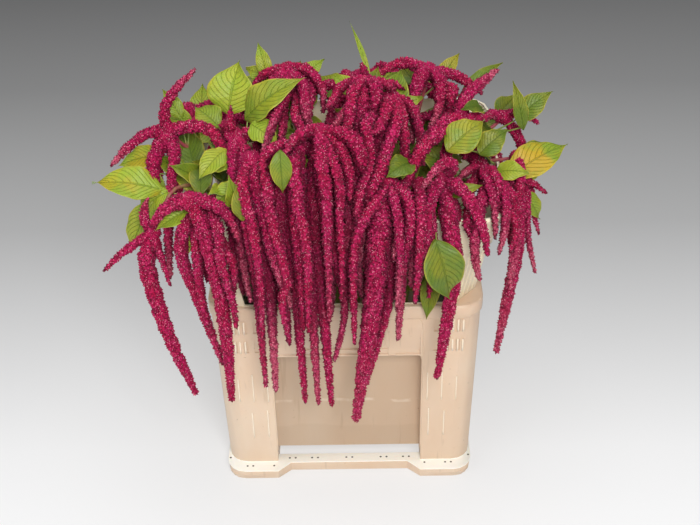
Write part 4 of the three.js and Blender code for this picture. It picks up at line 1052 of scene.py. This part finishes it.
def plastic_shader(name, slot, light, warm, soil_and_shade, holes=()):
    """Moulded plastic, worn: a faint pebble, long smears, dirt in patches, small holes painted dark
    as shade.
    """
    s = Shader(name, slot, Specular_IOR_Level=0.35, Subsurface_Weight=0.15,
               Subsurface_Scale=0.004, Subsurface_Radius=[1.0, 0.7, 0.45])
    smear = s.noise(5.0, 5.0, stretch=(1.0, 1.0, 0.35), rough=0.6)
    cloud = s.noise(14.0, 3.0)
    colour = s.mix(s.ramp(smear, 0.3, 0.7), light, warm)
    spots = s.noise(150.0, 2.0, rough=0.7)
    colour = s.mix((s.ramp(spots, 0.68, 0.76), s.ramp(cloud, 0.45, 0.65), 0.45), colour, soil_and_shade)
    scratch = s.noise(90.0, 2.0, stretch=(1.0, 1.0, 0.08), rough=0.75)
    colour = s.mix((s.ramp(scratch, 0.62, 0.72), 0.16), colour, soil_and_shade)
    if holes:
        colour = s.container_tones(colour, soil_and_shade)
        nearest = functools.reduce(lambda a, b: s.math("MINIMUM", a, b), [
            s.add("ShaderNodeVectorMath", {0: s.place(), 1: spot}, operation="DISTANCE").outputs[1]
            for spot in holes])
        # Painted shade: each drain hole is a dark spot on the ring's top
        colour = s.mix(s.less(s.ramp(nearest, *HOLE_EDGE)), colour, linear(58, 44, 34))
    s.set(s.surface, "Base Color", colour)
    s.set(s.surface, "Roughness", s.math("ADD", s.times(cloud, 0.22), 0.34))
    s.bump(s.math("ADD", s.noise(700.0, 2.0), s.times(scratch, 0.5)), 0.00025, 0.5)
    return s


def water_shader():
    s = Shader("Water", "water", Roughness=0.04, IOR=1.33, Transmission_Weight=0.85)
    s.set(s.surface, "Base Color",
          s.mix(s.noise(9.0), linear(206, 222, 204), linear(186, 204, 180)))
    s.bump(s.noise(30.0, 2.0), 0.0008, 0.25)
    return s


def link(name, data):
    """An object of a mesh, light or camera, in the scene."""
    obj = bpy.data.objects.new(name, data)
    bpy.context.scene.collection.objects.link(obj)
    return obj


def finish_piece(obj, look, *replaced):
    """Gives a piece its look and its body, and hides the solids it stands for."""
    obj.data.materials.clear()
    obj.data.materials.append(look.material)
    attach(obj, "root")
    if replaced:
        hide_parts(*replaced)


class Bundle:
    """Millimetre points, triangles and numbers per point, gathered for one smooth mesh."""

    def __init__(self, *keys):
        self.points, self.faces, self.numbers = [], [], {key: [] for key in keys}
        self.count = 0

    def add(self, points, faces, **numbers):
        points = np.asarray(points, dtype=float).reshape(-1, 3)
        self.faces.append(np.asarray(faces) + self.count)
        self.points.append(points)
        for key, rows in self.numbers.items():
            rows.append(np.broadcast_to(np.asarray(numbers.get(key, 0.0), dtype=float),
                                        len(points)))
        self.count += len(points)

    def build(self, name, look, *replaced):
        mesh = bpy.data.meshes.new(name)
        faces = np.concatenate(self.faces)
        mesh.vertices.add(self.count)
        mesh.vertices.foreach_set("co", placed(np.concatenate(self.points)).ravel())
        mesh.loops.add(faces.size)
        mesh.loops.foreach_set("vertex_index", faces.ravel().astype(np.int32))
        mesh.polygons.add(len(faces))
        mesh.polygons.foreach_set("loop_start", np.arange(0, faces.size, 3, dtype=np.int32))
        mesh.polygons.foreach_set("use_smooth", np.full(len(faces), True))
        mesh.update(calc_edges=True)
        for key, rows in self.numbers.items():
            mesh.attributes.new(key, "FLOAT", "POINT").data.foreach_set(
                "value", np.concatenate(rows).astype(np.float32))
        finish_piece(link(name, mesh), look, *replaced)


def tube_faces(rings, sides):
    """Triangles of a closed tube: its rings of points, then a point in each end."""
    ring, side = np.meshgrid(np.arange(rings - 1), np.arange(sides), indexing="ij")
    a = ring * sides + side
    b = ring * sides + (side + 1) % sides
    c, d = b + sides, a + sides
    k = np.arange(sides)
    after, last, end = (k + 1) % sides, (rings - 1) * sides, np.full(sides, rings * sides)
    return np.concatenate([np.stack(corners, -1).reshape(-1, 3) for corners in (
        (a, b, c), (a, c, d), (end, after, k), (end + 1, last + k, last + after))])


FLOWER_NUMBERS = ("grain", "tip", "shade", "along", "sunk")
FLORET_SIDES = 4
FLORET_PITCH = 3.2
# Flowers are wider apart on the plants behind and on the side tassels
BACK_PITCH, SIDE_PITCH, QUICK_PITCH = 1.15, 1.2, 1.6
# Shares of a flower's size: its half width, its depth in the surface, its lean and its height
FLORET_WIDTH, FLORET_DEPTH, FLORET_LEAN, FLORET_HEIGHT = 0.72, 0.35, 0.2, (0.3, 0.75)
FLORET_SIZES = (0.75, 1.25)
# Each flower covers this share of its pitch, squared, and sits off its place by up to JITTER
PACKING = 0.87
JITTER = 0.4
CLUMP_PITCH = 8.5
CLUMP_REACH = 0.64 * CLUMP_PITCH
CLUMP_RELIEF, CLUMP_TILT = 0.2, 0.5
# Shares of a tassel's radius where its flowers stand and where its core ends
FLOWER_FOOT, CORE_SHARE = 0.9, 0.84
# A tassel narrows from this share of its length on, by this share of its radius
TAIL_START, TAIL_LENGTH, TAIL_SLIM = 0.68, 0.32, 0.42
CORE_SIDES, CORE_STEP = 8, 6
# Other tassels further off than this don't shade a spot
SHADING_REACH = 45
GOLDEN_ANGLE = math.pi * (3 - math.sqrt(5))


def shut_in(spots, ways, lane):
    """How far other tassels close round each spot that faces its way, from 0 upwards, for the
    flowers' painted shade.
    """
    reach = np.ptp(spots, axis=0) / 2 + SHADING_REACH
    middle = (spots.max(axis=0) + spots.min(axis=0)) / 2
    near = (abs(tassel_points - middle) < reach).all(axis=1) & (tassel_lanes != lane)
    away = tassel_points[near][None] - spots[:, None]
    distance = np.linalg.norm(away, axis=2) + 1e-6
    facing = np.clip(np.einsum("ijk,ik->ij", away, ways) / distance, 0, 1)
    area = 2 * tassel_radii[near] * BEAD_SPACING
    return (area * facing / (np.pi * distance**2 + area)).sum(axis=1)


def add_florets(bundle, centers, normals, sweeps, sizes, chance, shade, along, swell, sunk):
    """Small blunt cones that stand on a surface, leaning a little along sweeps."""
    count = len(centers)
    side = np.cross(normals, sweeps)
    side /= np.linalg.norm(side, axis=1)[:, None] + 1e-9
    other = np.cross(side, normals)
    k = np.arange(FLORET_SIDES)
    angle = chance.uniform(0, 2 * np.pi, count)[:, None] + k * 2 * np.pi / FLORET_SIDES
    foot = centers - normals * (sizes * FLORET_DEPTH)[:, None]
    wide = sizes[:, None] * FLORET_WIDTH
    ring = (foot[:, None, :] + side[:, None, :] * (np.cos(angle) * wide)[..., None]
            + other[:, None, :] * (np.sin(angle) * wide)[..., None])
    tall = sizes * chance.uniform(*FLORET_HEIGHT, count)
    top = centers + normals * tall[:, None] + sweeps * (sizes * FLORET_LEAN)[:, None]
    points = np.concatenate([ring, top[:, None, :]], axis=1)
    base = np.arange(count)[:, None] * (FLORET_SIDES + 1)
    faces = np.stack([base + k, base + (k + 1) % FLORET_SIDES, base + 0 * k + FLORET_SIDES], -1)
    # Painted shade: a flower's foot, and each flower between clumps or in a hollow of the knot, gets
    # a low tip and so a darker colour
    tip = np.concatenate([np.repeat(0.05 + 0.3 * swell[:, None], FLORET_SIDES, axis=1),
                          0.4 + 0.6 * swell[:, None]], axis=1)
    grain, along, sunk = (
        np.repeat(v, FLORET_SIDES + 1) for v in (chance.random(count), along, sunk))
    bundle.add(points, faces.reshape(-1, 3), grain=grain, tip=tip.ravel(), shade=shade,
               along=along, sunk=sunk)


def spiral(width, total, pitch, chance):
    """Uneven places spread over a tassel: how far along it and the angle round it."""
    fine = np.linspace(0, total, 400)
    density = 2 * np.pi * width(fine, 0 * fine) / (PACKING * pitch**2)
    tally = np.concatenate([[0], np.cumsum((density[1:] + density[:-1]) / 2 * np.diff(fine))])
    number = np.arange(int(tally[-1]))
    u = np.interp(number, tally, fine)
    turned = chance.uniform(-JITTER, JITTER, len(u)) * pitch / width(u, 0 * u)
    moved = chance.uniform(-JITTER, JITTER, len(u)) * pitch
    return np.clip(u + moved, 0, total * 0.999), number * GOLDEN_ANGLE + turned


def add_tassel(bundle, chain, chance, pitch):
    """A soft tapering rope of flowers along its chain, in small round clumps."""
    radius, beads = chain["radius"], chain["points"]
    keep = [i for i in range(len(beads)) if i % 2 == 0 or i == len(beads) - 1]
    curve = Curve(beads[keep])
    steps = max(6, int(curve.length / CORE_STEP))
    points, tangents, normals, binormals = curve.frames(steps)
    cap = radius * TASSEL_TIP
    total = curve.length + cap
    reach = np.linspace(0, curve.length, steps + 1)
    wave, beat, phase = chance.uniform(16, 30), chance.uniform(6, 10), chance.uniform(0, 6, 3)
    shade = chance.random()

    def width(u, angle):
        body = tassel_radius(radius, np.minimum(u / curve.length, 1))
        body = body * (1 + 0.07 * np.sin(2 * np.pi * u / wave + phase[0])
                       + 0.06 * np.sin(u / beat + phase[1]) * np.sin(2 * angle + phase[2] + u / 17))
        late = np.clip((u / curve.length - TAIL_START) / TAIL_LENGTH, 0, 1)
        past = np.clip((u - curve.length) / cap, 0, 0.999)
        return body * (1 - TAIL_SLIM * late**1.5) * np.sqrt(1 - past**2)

    def spot(u, angle, out):
        inside = np.minimum(u, curve.length)

        def blend(rows):
            return np.stack([np.interp(inside, reach, rows[:, k]) for k in range(3)], -1)

        normal, binormal, along = blend(normals), blend(binormals), blend(tangents)
        cosine, sine = np.cos(angle)[:, None], np.sin(angle)[:, None]
        way, around = normal * cosine + binormal * sine, binormal * cosine - normal * sine
        center = blend(points) + along * np.maximum(0, u - curve.length)[:, None]
        return center + way * out[:, None], way, along, around

    clump_u, clump_angle = spiral(width, total, CLUMP_PITCH, chance)
    u, angle = spiral(width, total, pitch, chance)
    wide = width(u, angle)
    ahead = u[:, None] - clump_u[None, :]
    aside = np.remainder(angle[:, None] - clump_angle[None, :] + np.pi, 2 * np.pi) - np.pi
    aside = aside * wide[:, None]
    nearest = np.hypot(ahead, aside).argmin(axis=1)[:, None]
    ahead, aside = (np.take_along_axis(v, nearest, 1) / CLUMP_REACH for v in (ahead, aside))
    swell = np.sqrt(np.clip(1 - ahead[:, 0]**2 - aside[:, 0]**2, 0, 1))
    out = wide * FLOWER_FOOT + CLUMP_RELIEF * radius * (swell - 0.4)
    centers, ways, along, around = spot(u, angle, np.maximum(out, 0.4))
    past = np.clip((u - curve.length) / cap, 0, 0.95)
    ways = ways * np.sqrt(1 - past**2)[:, None] + along * past[:, None]
    ways += CLUMP_TILT * (along * ahead + around * aside)
    ways /= np.linalg.norm(ways, axis=1)[:, None]
    sizes = pitch * chance.uniform(*FLORET_SIZES, len(u))
    ring_u = np.append(np.linspace(0, curve.length, steps + 1), total - 0.15 * cap)
    ring_u = np.repeat(ring_u, CORE_SIDES)
    ring_angle = np.tile(np.arange(CORE_SIDES) * 2 * np.pi / CORE_SIDES, steps + 2)
    core, core_ways, _, _ = spot(ring_u, ring_angle, width(ring_u, ring_angle) * CORE_SHARE)
    # Painted shade for this tassel, from how far other tassels close round its core
    dark = shut_in(core, core_ways, chain["lane"])
    place = np.minimum(u / curve.length * steps, steps)
    turned = np.remainder(angle, 2 * np.pi) * CORE_SIDES / (2 * np.pi)
    ring, side = place.astype(int), turned.astype(int) % CORE_SIDES
    after, share = (side + 1) % CORE_SIDES, turned % 1
    dark_at = dark.reshape(-1, CORE_SIDES)
    sunk = dark_at[ring, side] * (1 - share) + dark_at[ring, after] * share
    add_florets(bundle, centers, ways, along, sizes, chance, shade, np.minimum(u / total, 1), swell,
                sunk)

    ends = [curve.at(0), core[-CORE_SIDES:].mean(axis=0)]
    # The core stands for the shaded inside between the flowers: painted darker by its tip value,
    # with painted shade from other tassels and full shade at its two end points
    bundle.add(np.concatenate([core, ends]), tube_faces(steps + 2, CORE_SIDES),
               grain=0.2, tip=0.3, shade=shade, along=0.3, sunk=np.append(dark, [1.0, 1.0]))


def add_knot(bundle, plant, chance, pitch):
    """The lumpy flower cluster where a plant's tassels start."""
    radius = plant["knot"] * 0.98
    count = int(4 * math.pi * radius**2 / (PACKING * pitch**2))
    i = np.arange(count) + 0.5
    up = 1 - 2 * i / count
    angle = i * GOLDEN_ANGLE
    ways = np.stack([np.cos(angle) * np.sqrt(1 - up**2), np.sin(angle) * np.sqrt(1 - up**2), up], -1)
    lump = np.array([noise.noise(Vector(w * 1.7) + Vector(plant["head"])) for w in ways])
    reach = radius * (0.92 + 0.2 * lump)
    centers = np.array(plant["head"]) + ways * reach[:, None]
    sweeps = np.cross(ways, [0.3, 0.2, 1.0])
    sweeps /= np.linalg.norm(sweeps, axis=1)[:, None] + 1e-9
    sizes = pitch * chance.uniform(0.85, 1.3, count)
    lift = np.clip(0.55 + lump, 0.1, 1)
    # Painted shade where other tassels close round the knot, at 0.3 strength
    add_florets(bundle, centers, ways, sweeps, sizes, chance, chance.random(), np.zeros(count), lift,
                0.3 * shut_in(centers, ways, -1))
    ball = bmesh.new()
    bmesh.ops.create_icosphere(ball, subdivisions=2, radius=radius * 0.86)
    points = np.array([v.co for v in ball.verts]) + np.array(plant["head"])
    faces = np.array([[v.index for v in f.verts] for f in ball.faces])
    ball.free()
    # The ball inside the knot is painted half dark as shade between its flowers
    bundle.add(points, faces, grain=0.2, tip=0.3, shade=0.5, along=0.0, sunk=0.5)


flower_look = tassel_shader()
for number, plant in enumerate(plants):
    chance = np.random.default_rng(1000 + number)
    bundle = Bundle(*FLOWER_NUMBERS)
    pitch = FLORET_PITCH * 1.0
    add_knot(bundle, plant, chance, pitch)
    for chain in (c for c in chains if c["owner"] == number):
        add_tassel(bundle, chain, chance, pitch * (1.0 if number < len(PLANTS) else BACK_PITCH))
    bundle.build(node_name("flowers", number), flower_look, node_name("tassels", number))
    side_chains = [c for c in more_chains if c["owner"] == number]
    if side_chains:
        extra = Bundle(*FLOWER_NUMBERS)
        for chain in side_chains:
            add_tassel(extra, chain, chance, pitch * SIDE_PITCH)
        extra.build(node_name("side_tassels", number), flower_look)


LEAF_NUMBERS = ("along", "across", "under", "age", "tone")
LEAF_STATIONS, QUICK_STATIONS = 26, 14
LEAF_ACROSS, NARROW_ACROSS = 12, 6
# Millimetres of relief on a leaf of FULL_SIZE across, less on a smaller one
PUCKER, WAVE, MIDRIB, FULL_SIZE = 1.5, 2.6, 1.3, 40
# A leaf draws to its point from this share of its length on, by this share of its width
POINT_START, POINT_LENGTH, POINT_SLIM = 0.72, 0.28, 0.45
LEAF_DROOP, LEAF_TWIST = 0.09, 0.3
HALF_THICK = 0.25


def add_leaf(bundle, blade, chance, age, tone):
    """A thin, two-faced blade: puckered between its side veins, waved at its edge."""
    stations = LEAF_STATIONS
    across_count = LEAF_ACROSS if blade.width > 20 else NARROW_ACROSS
    t, across = np.meshgrid(np.linspace(0, 1, stations + 1),
                            np.linspace(-1, 1, across_count + 1), indexing="ij")
    width = np.abs(across)
    beat = (t - VEIN_LEAN * width**VEIN_CURVE) * VEINS
    pucker = np.abs(np.sin(np.pi * (beat - 0.5))) ** 0.8 * (1 - width**3) * (1 - t**4)
    ripple = chance.uniform(0, 6, 2)
    edge_wave = (np.sin(t * chance.uniform(13, 19) + ripple[0]) * 0.6
                 + np.sin(t * chance.uniform(24, 31) + ripple[1]) * 0.4)
    size = min(1.0, blade.width / FULL_SIZE)
    height = (pucker * PUCKER * size + edge_wave * width**2.5 * np.sign(across) * WAVE * size
              + np.sin(t * 5 + ripple[1]) * width**2 * WAVE * size
              - np.exp(-(across * 9) ** 2) * MIDRIB * size)
    twist = chance.uniform(-LEAF_TWIST, LEAF_TWIST) * t**1.5
    roll = across * twist * blade.width / 2
    droop = -blade.length * LEAF_DROOP * chance.uniform(0, 1.3) * t**2.5
    slim = np.sin(np.pi * np.clip(t, 0, 1)) if blade.slim else 1.0
    late = np.clip((t - POINT_START) / POINT_LENGTH, 0, 1)
    narrowed = across * (1 - POINT_SLIM * late**1.2) * slim
    top = blade.at(t, narrowed, height + roll + droop + HALF_THICK)
    low = blade.at(t, narrowed, height + roll + droop - HALF_THICK)
    rows = across_count + 1
    i, k = np.meshgrid(np.arange(stations), np.arange(across_count), indexing="ij")
    a = (i * rows + k).ravel()
    quads = [(a, a + 1, a + rows + 1), (a, a + rows + 1, a + rows)]
    upper = np.concatenate([np.stack(q, -1) for q in quads])
    count = (stations + 1) * rows
    lower = upper[:, ::-1] + count
    rim = np.concatenate([np.arange(rows), np.arange(1, stations + 1) * rows + across_count,
                          stations * rows + np.arange(across_count - 1, -1, -1),
                          np.arange(stations - 1, 0, -1) * rows])
    after = np.roll(rim, -1)
    wall = np.concatenate([np.stack([rim, rim + count, after + count], -1),
                           np.stack([rim, after + count, after], -1)])
    faces = np.concatenate([upper, lower, wall])
    under = np.concatenate([np.zeros(count), np.ones(count)])
    points = np.concatenate([top.reshape(-1, 3), low.reshape(-1, 3)])
    if np.dot(np.cross(top[1, 1] - top[1, 0], top[2, 0] - top[1, 0]), blade.normal) < 0:
        faces = faces[:, ::-1]
    bundle.add(points, faces, along=np.tile(t.ravel(), 2), across=np.tile(across.ravel(), 2),
               under=under, age=age, tone=tone)


def add_tube(bundle, curve, radius_at, sides, spacing):
    """A round rod along a curve, with radius_at giving its radius by share of the length."""
    steps = max(3, int(curve.length / spacing))
    points, _, normals, binormals = curve.frames(steps)
    shares = np.linspace(0, 1, steps + 1)
    angle = np.arange(sides) * 2 * np.pi / sides
    reach = radius_at(shares)[:, None, None]
    rings = (points[:, None, :] + normals[:, None, :] * np.cos(angle)[None, :, None] * reach
             + binormals[:, None, :] * np.sin(angle)[None, :, None] * reach)
    bundle.add(np.concatenate([rings.reshape(-1, 3), points[[0, -1]]]),
               tube_faces(steps + 1, sides), along=np.append(np.repeat(shares, sides), [0, 1]))


def is_outside(p):
    half_x, half_y = outside_at(np.array([p[2]]))
    return p[2] < COLLAR_TOP + 6 and (abs(p[0]) > half_x[0] or abs(p[1]) > half_y[0])


def petiole_curve(plant, blade):
    """The stalk from inside a blade's base to the nearest lower place on its stem."""
    stem = stem_curve(plant)
    rings = 7 if plant.get("over") else 5
    places = stem.spaced(rings)
    root = places[-2]
    outside = is_outside(blade.base)
    for low, high in zip(places, places[1:]):
        for share in (0, 0.25, 0.5, 0.75):
            p = low + (high - low) * share
            lower = p[2] < blade.base[2] - 6
            reachable = (p[2] > COLLAR_TOP + 3 or is_outside(p)) if outside else lower
            if reachable and np.linalg.norm(p - blade.base) < np.linalg.norm(root - blade.base):
                root = p
    inside = blade.base + blade.axis * blade.length * 0.06
    sag = np.array([0, 0, -0.06 * np.linalg.norm(root - inside)])
    return Curve([inside, (inside + root) / 2 + sag * 0.4, root])


def add_petiole(bundle, plant, blade):
    add_tube(bundle, petiole_curve(plant, blade), lambda s: PETIOLE_RADIUS * (0.75 + 0.35 * s),
             6, 8)


stalk_look, leaf_look = stalk_shader(), leaf_shader()
# Plants whose leaves are painted darker as painted shade, and how far single leaves (plant, leaf)
# have yellowed
SHADED_PLANTS = {*range(11, 14), *range(15, 19), *range(21, 24)}
YELLOWED = {(12, 0): 0.3, (14, 0): 0.75, (14, 1): 0.45, (2, 0): 0.4, (0, 2): 0.45, (11, 1): 0.2}
for number, plant in enumerate(plants):
    chance = np.random.default_rng(500 + number)
    green, leaves = Bundle("along"), Bundle(*LEAF_NUMBERS)
    add_tube(green, stem_curve(plant), lambda s: STEM_RADIUS * (1 - 0.3 * s), 10, 12)
    for place, blade in enumerate(blades[number]):
        add_petiole(green, plant, blade)
        # Painted shade: leaves of shaded plants take a darker tone
        dark = 0.6 if number in SHADED_PLANTS else 0.1
        add_leaf(leaves, blade, chance, YELLOWED.get((number, place), 0.08),
                 dark + 0.4 * chance.random())
    green.build(node_name("stalks", number), stalk_look, node_name("stem", number))
    leaves.build(node_name("leaves", number), leaf_look)
    if fillers[number]:
        inner, twigs = Bundle(*LEAF_NUMBERS), Bundle("along")
        for blade in fillers[number]:
            # Leaves inside the bunch take a darker tone, painted shade
            add_leaf(inner, blade, chance, 0.1, 0.5 + 0.5 * chance.random())
            add_petiole(twigs, plant, blade)
        inner.build(node_name("inner_leaves", number), leaf_look)
        twigs.build(node_name("inner_twigs", number), stalk_look)


def copy_node(node, name, look):
    """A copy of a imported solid, with its flat faces merged, to be refined and shown instead."""
    obj = link(name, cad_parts[node].data.copy())
    mesh = bmesh.new()
    mesh.from_mesh(obj.data)
    bmesh.ops.remove_doubles(mesh, verts=mesh.verts, dist=2e-5)
    bmesh.ops.dissolve_limit(mesh, angle_limit=math.radians(0.6), verts=mesh.verts,
                             edges=mesh.edges)
    mesh.to_mesh(obj.data)
    mesh.free()
    finish_piece(obj, look, node)
    return obj


def soften(obj, width):
    """Rounds the moulded edges of a copy and shades it smooth."""
    bevel = obj.modifiers.new("Rounded edges", "BEVEL")
    bevel.width, bevel.segments = width, 2
    bevel.limit_method, bevel.angle_limit = "ANGLE", math.radians(28)
    bevel.use_clamp_overlap = bevel.harden_normals = True
    for polygon in obj.data.polygons:
        polygon.use_smooth = True


# Drain holes in the base ring's top: across, and how far to the front
RING_HOLES = (
    *((x, -116.5) for x in (-96, -86.5, -60, -50.5, -4.8, 4.8, 50.5, 60, 86.5, 96)),
    *((x, -134) for x in (-163, -154, -120.4)), *((x, -130.5) for x in (120.4, 153.5, 162.8)),
    *((sign * 191.5, y) for sign in (-1, 1) for y in (-78, -90, -114)),
)
hole_spots = [tuple(placed((x, y * sign, RING_TOP))) for x, y in RING_HOLES for sign in (1, -1)]
container_look = plastic_shader("Container plastic", "container_plastic", linear(223, 203, 180),
                                linear(215, 186, 158), linear(132, 106, 78), hole_spots)
collar_look = plastic_shader("Collar plastic", "collar_plastic", linear(244, 232, 206),
                             linear(236, 220, 188), linear(150, 128, 98))
soften(copy_node("container", "tub", container_look), 0.0009)
soften(copy_node("collar", "slotted_collar", collar_look), 0.0007)
copy_node("water", "water_fill", water_shader())


# Half depths of the container's front and back walls at the base ring and at WALL_TOP
WALL_LOW, WALL_HIGH, WALL_TOP = 124, 149, 326
# The moulded line round each recess up to the middle of its top, as (across, height)
RECESS_LINE = (*((113.4, z) for z in (48, 90, 140, 190, 240, 280, 312)),
               (112.3, 318), (109, 321.3), (103, 322), (60, 322), (0, 322))
# The lines round the plate at the top of a recess, and their radii
PLATE_LINES = (
    (((-113.2, 240), (-112, 248), (-107, 252), (-60, 252.5), (0, 252.5), (50, 252.5)), 1.3),
    (((63, 300), (63, 275), (63, 252.5), (85, 252.5), (107, 252), (112, 248), (113.2, 240)), 1.3),
    (((-62, 300), (-62, 270), (-56, 264), (0, 263.5), (50, 264), (57, 270), (58, 300)), 0.9),
)
# Raised lines on the corner pillars: across, heights of the ends and middle, radius
PILLAR_LINES = (
    *((x, (row + 1, row + 12, row + 24), 1.5)
      for row in (258, 296) for x in (150, 157.5, 165, 172.5)),
    (125, (78, 108, 138), 1.0), (149, (78, 105, 132), 1.0),
    *((x, (157, 185.5, 214), 1.0) for x in (122, 144)), (166, (157, 181, 205), 1.0),
)


def lip(bundle, route, side, radius, out):
    """A rounded moulded line over the sloping wall, out of it by a share of its radius."""
    slope = (WALL_HIGH - WALL_LOW) / (WALL_TOP - RING_TOP)
    points = [(x, side * (WALL_LOW + slope * (z - RING_TOP) + out * radius), z) for x, z in route]
    add_tube(bundle, Curve(points), lambda s: np.full(len(s), radius), 8, 9)


lips, flutes = Bundle("along"), Bundle("along")
for side in (-1, 1):
    for sign in (-1, 1):
        lip(lips, [(sign * x, z) for x, z in RECESS_LINE], side, 1.3, -0.35)
        for x, heights, radius in PILLAR_LINES:
            lip(flutes, [(sign * x, z) for z in heights], side, radius, 0.3)
    for route, radius in PLATE_LINES:
        lip(lips, route, side, radius, -0.35)
lips.build("moulded_lines", container_look)
# Painted highlight: the raised lines on the pillars are drawn paler, as light catches their rounded
# edges
highlight_look = plastic_shader("Raised plastic with painted highlight", "container_plastic", linear(247, 234, 214),
                           linear(240, 222, 198), linear(190, 164, 132))
flutes.build("pillar_flutes", highlight_look)


# Along the floor in metres, and greys at shares of the way from near to far
STAGE_NEAR, STAGE_FAR = -0.3, 1.9
# How much of the gradient the floor keeps as its colour, and how strongly it glows with it as
# painted light
STAGE_MATT, STAGE_GLOW = 0.4, 0.575
STAGE_TONES = ((0.1, 243), (0.41, 182), (0.7, 142))
# The floor's edge in front, the curve up to the backdrop and the backdrop's top, in metres
SWEEP_FRONT, SWEEP_BEND, SWEEP_RADIUS, SWEEP_TOP, SWEEP_HALF = -6.0, 3.2, 1.2, 6.0, 7.0


def add_camera():
    data = bpy.data.cameras.new("camera")
    data.sensor_width = 36
    data.lens = FOCAL_PIXELS * data.sensor_width / PHOTO_WIDTH
    data.clip_start, data.clip_end = 0.05, 50
    camera = link("camera", data)
    ahead = Vector((math.sin(AZIMUTH) * math.cos(ELEVATION),
                    math.cos(AZIMUTH) * math.cos(ELEVATION), -math.sin(ELEVATION)))
    right = Vector((math.cos(AZIMUTH), -math.sin(AZIMUTH), 0))
    up = right.cross(ahead)
    across = right * math.cos(ROLL) + up * math.sin(ROLL)
    upward = -right * math.sin(ROLL) + up * math.cos(ROLL)
    turn = Matrix((across, upward, -ahead)).transposed().to_4x4()
    camera.matrix_world = Matrix.Translation(Vector(placed(CAMERA_AT))) @ turn
    bpy.context.scene.camera = camera


def add_stage():
    """A pale floor that curves up into a backdrop, lighter in front and grey behind, glowing with
    that gradient as painted light.
    """
    look = bpy.data.materials.new("Studio sweep")
    look.use_nodes = True
    tree = look.node_tree
    surface = tree.nodes["Principled BSDF"]
    surface.inputs["Roughness"].default_value = 0.9
    surface.inputs["Specular IOR Level"].default_value = 0.1
    where = tree.nodes.new("ShaderNodeTexCoord")
    split = tree.nodes.new("ShaderNodeSeparateXYZ")
    tree.links.new(where.outputs["Object"], split.inputs[0])
    span = tree.nodes.new("ShaderNodeMapRange")
    for key, value in {1: STAGE_NEAR, 2: STAGE_FAR}.items():
        span.inputs[key].default_value = value
    tree.links.new(split.outputs[1], span.inputs[0])
    ramp = tree.nodes.new("ShaderNodeValToRGB")
    tree.links.new(span.outputs[0], ramp.inputs[0])
    stops = ramp.color_ramp.elements
    stops[0].position, stops[0].color = 0.0, linear(250, 250, 250)
    stops[1].position, stops[1].color = 1.0, linear(112, 112, 112)
    for position, level in STAGE_TONES:
        stop = stops.new(position)
        stop.color = linear(level, level, level)
    part = tree.nodes.new("ShaderNodeMix")
    part.data_type, part.blend_type = "RGBA", "MULTIPLY"
    part.inputs[0].default_value = 1.0
    part.inputs[7].default_value = (STAGE_MATT, STAGE_MATT, STAGE_MATT, 1)
    tree.links.new(ramp.outputs[0], part.inputs[6])
    tree.links.new(part.outputs[2], surface.inputs["Base Color"])
    # Painted light: the floor glows with its own gradient, which also lightens the shadows on it
    tree.links.new(ramp.outputs[0], surface.inputs["Emission Color"])
    surface.inputs["Emission Strength"].default_value = STAGE_GLOW
    profile = [(SWEEP_FRONT, 0.0), (SWEEP_BEND, 0.0)]
    profile += [(SWEEP_BEND + SWEEP_RADIUS * math.sin(a), SWEEP_RADIUS * (1 - math.cos(a)))
                for a in np.linspace(0, math.pi / 2, 13)[1:]]
    profile.append((SWEEP_BEND + SWEEP_RADIUS, SWEEP_TOP))
    points = [(x, y, z) for y, z in profile for x in (-SWEEP_HALF, SWEEP_HALF)]
    faces = [(2 * i, 2 * i + 1, 2 * i + 3, 2 * i + 2) for i in range(len(profile) - 1)]
    mesh = bpy.data.meshes.new("floor")
    mesh.from_pydata(points, [], faces)
    for polygon in mesh.polygons:
        polygon.use_smooth = True
    mesh.materials.append(look)
    link("floor", mesh)


def add_light(name, place, target, size, power):
    data = bpy.data.lights.new(name, "AREA")
    data.shape, data.size, data.energy = "DISK", size, power
    light = link(name, data)
    light.location = place
    light.rotation_mode = "QUATERNION"
    light.rotation_quaternion = (Vector(target) - Vector(place)).to_track_quat("-Z", "Y")


add_camera()
add_stage()
add_light("key", (0.45, -2.65, 2.5), (0, 0, 0.35), 1.2, 90)
add_light("fill", (-2.2, -1.8, 1.5), (0, 0, 0.35), 2.2, 20)
add_light("top", (0.1, 0.3, 3.0), (0, 0, 0.3), 1.8, 26)
world = bpy.data.worlds.new("Soft studio")
world.use_nodes = True
background = world.node_tree.nodes["Background"].inputs
background["Color"].default_value = (0.9, 0.93, 1.0, 1)
background["Strength"].default_value = 0.22
bpy.context.scene.world = world
bpy.context.scene.view_settings.view_transform = "Standard"
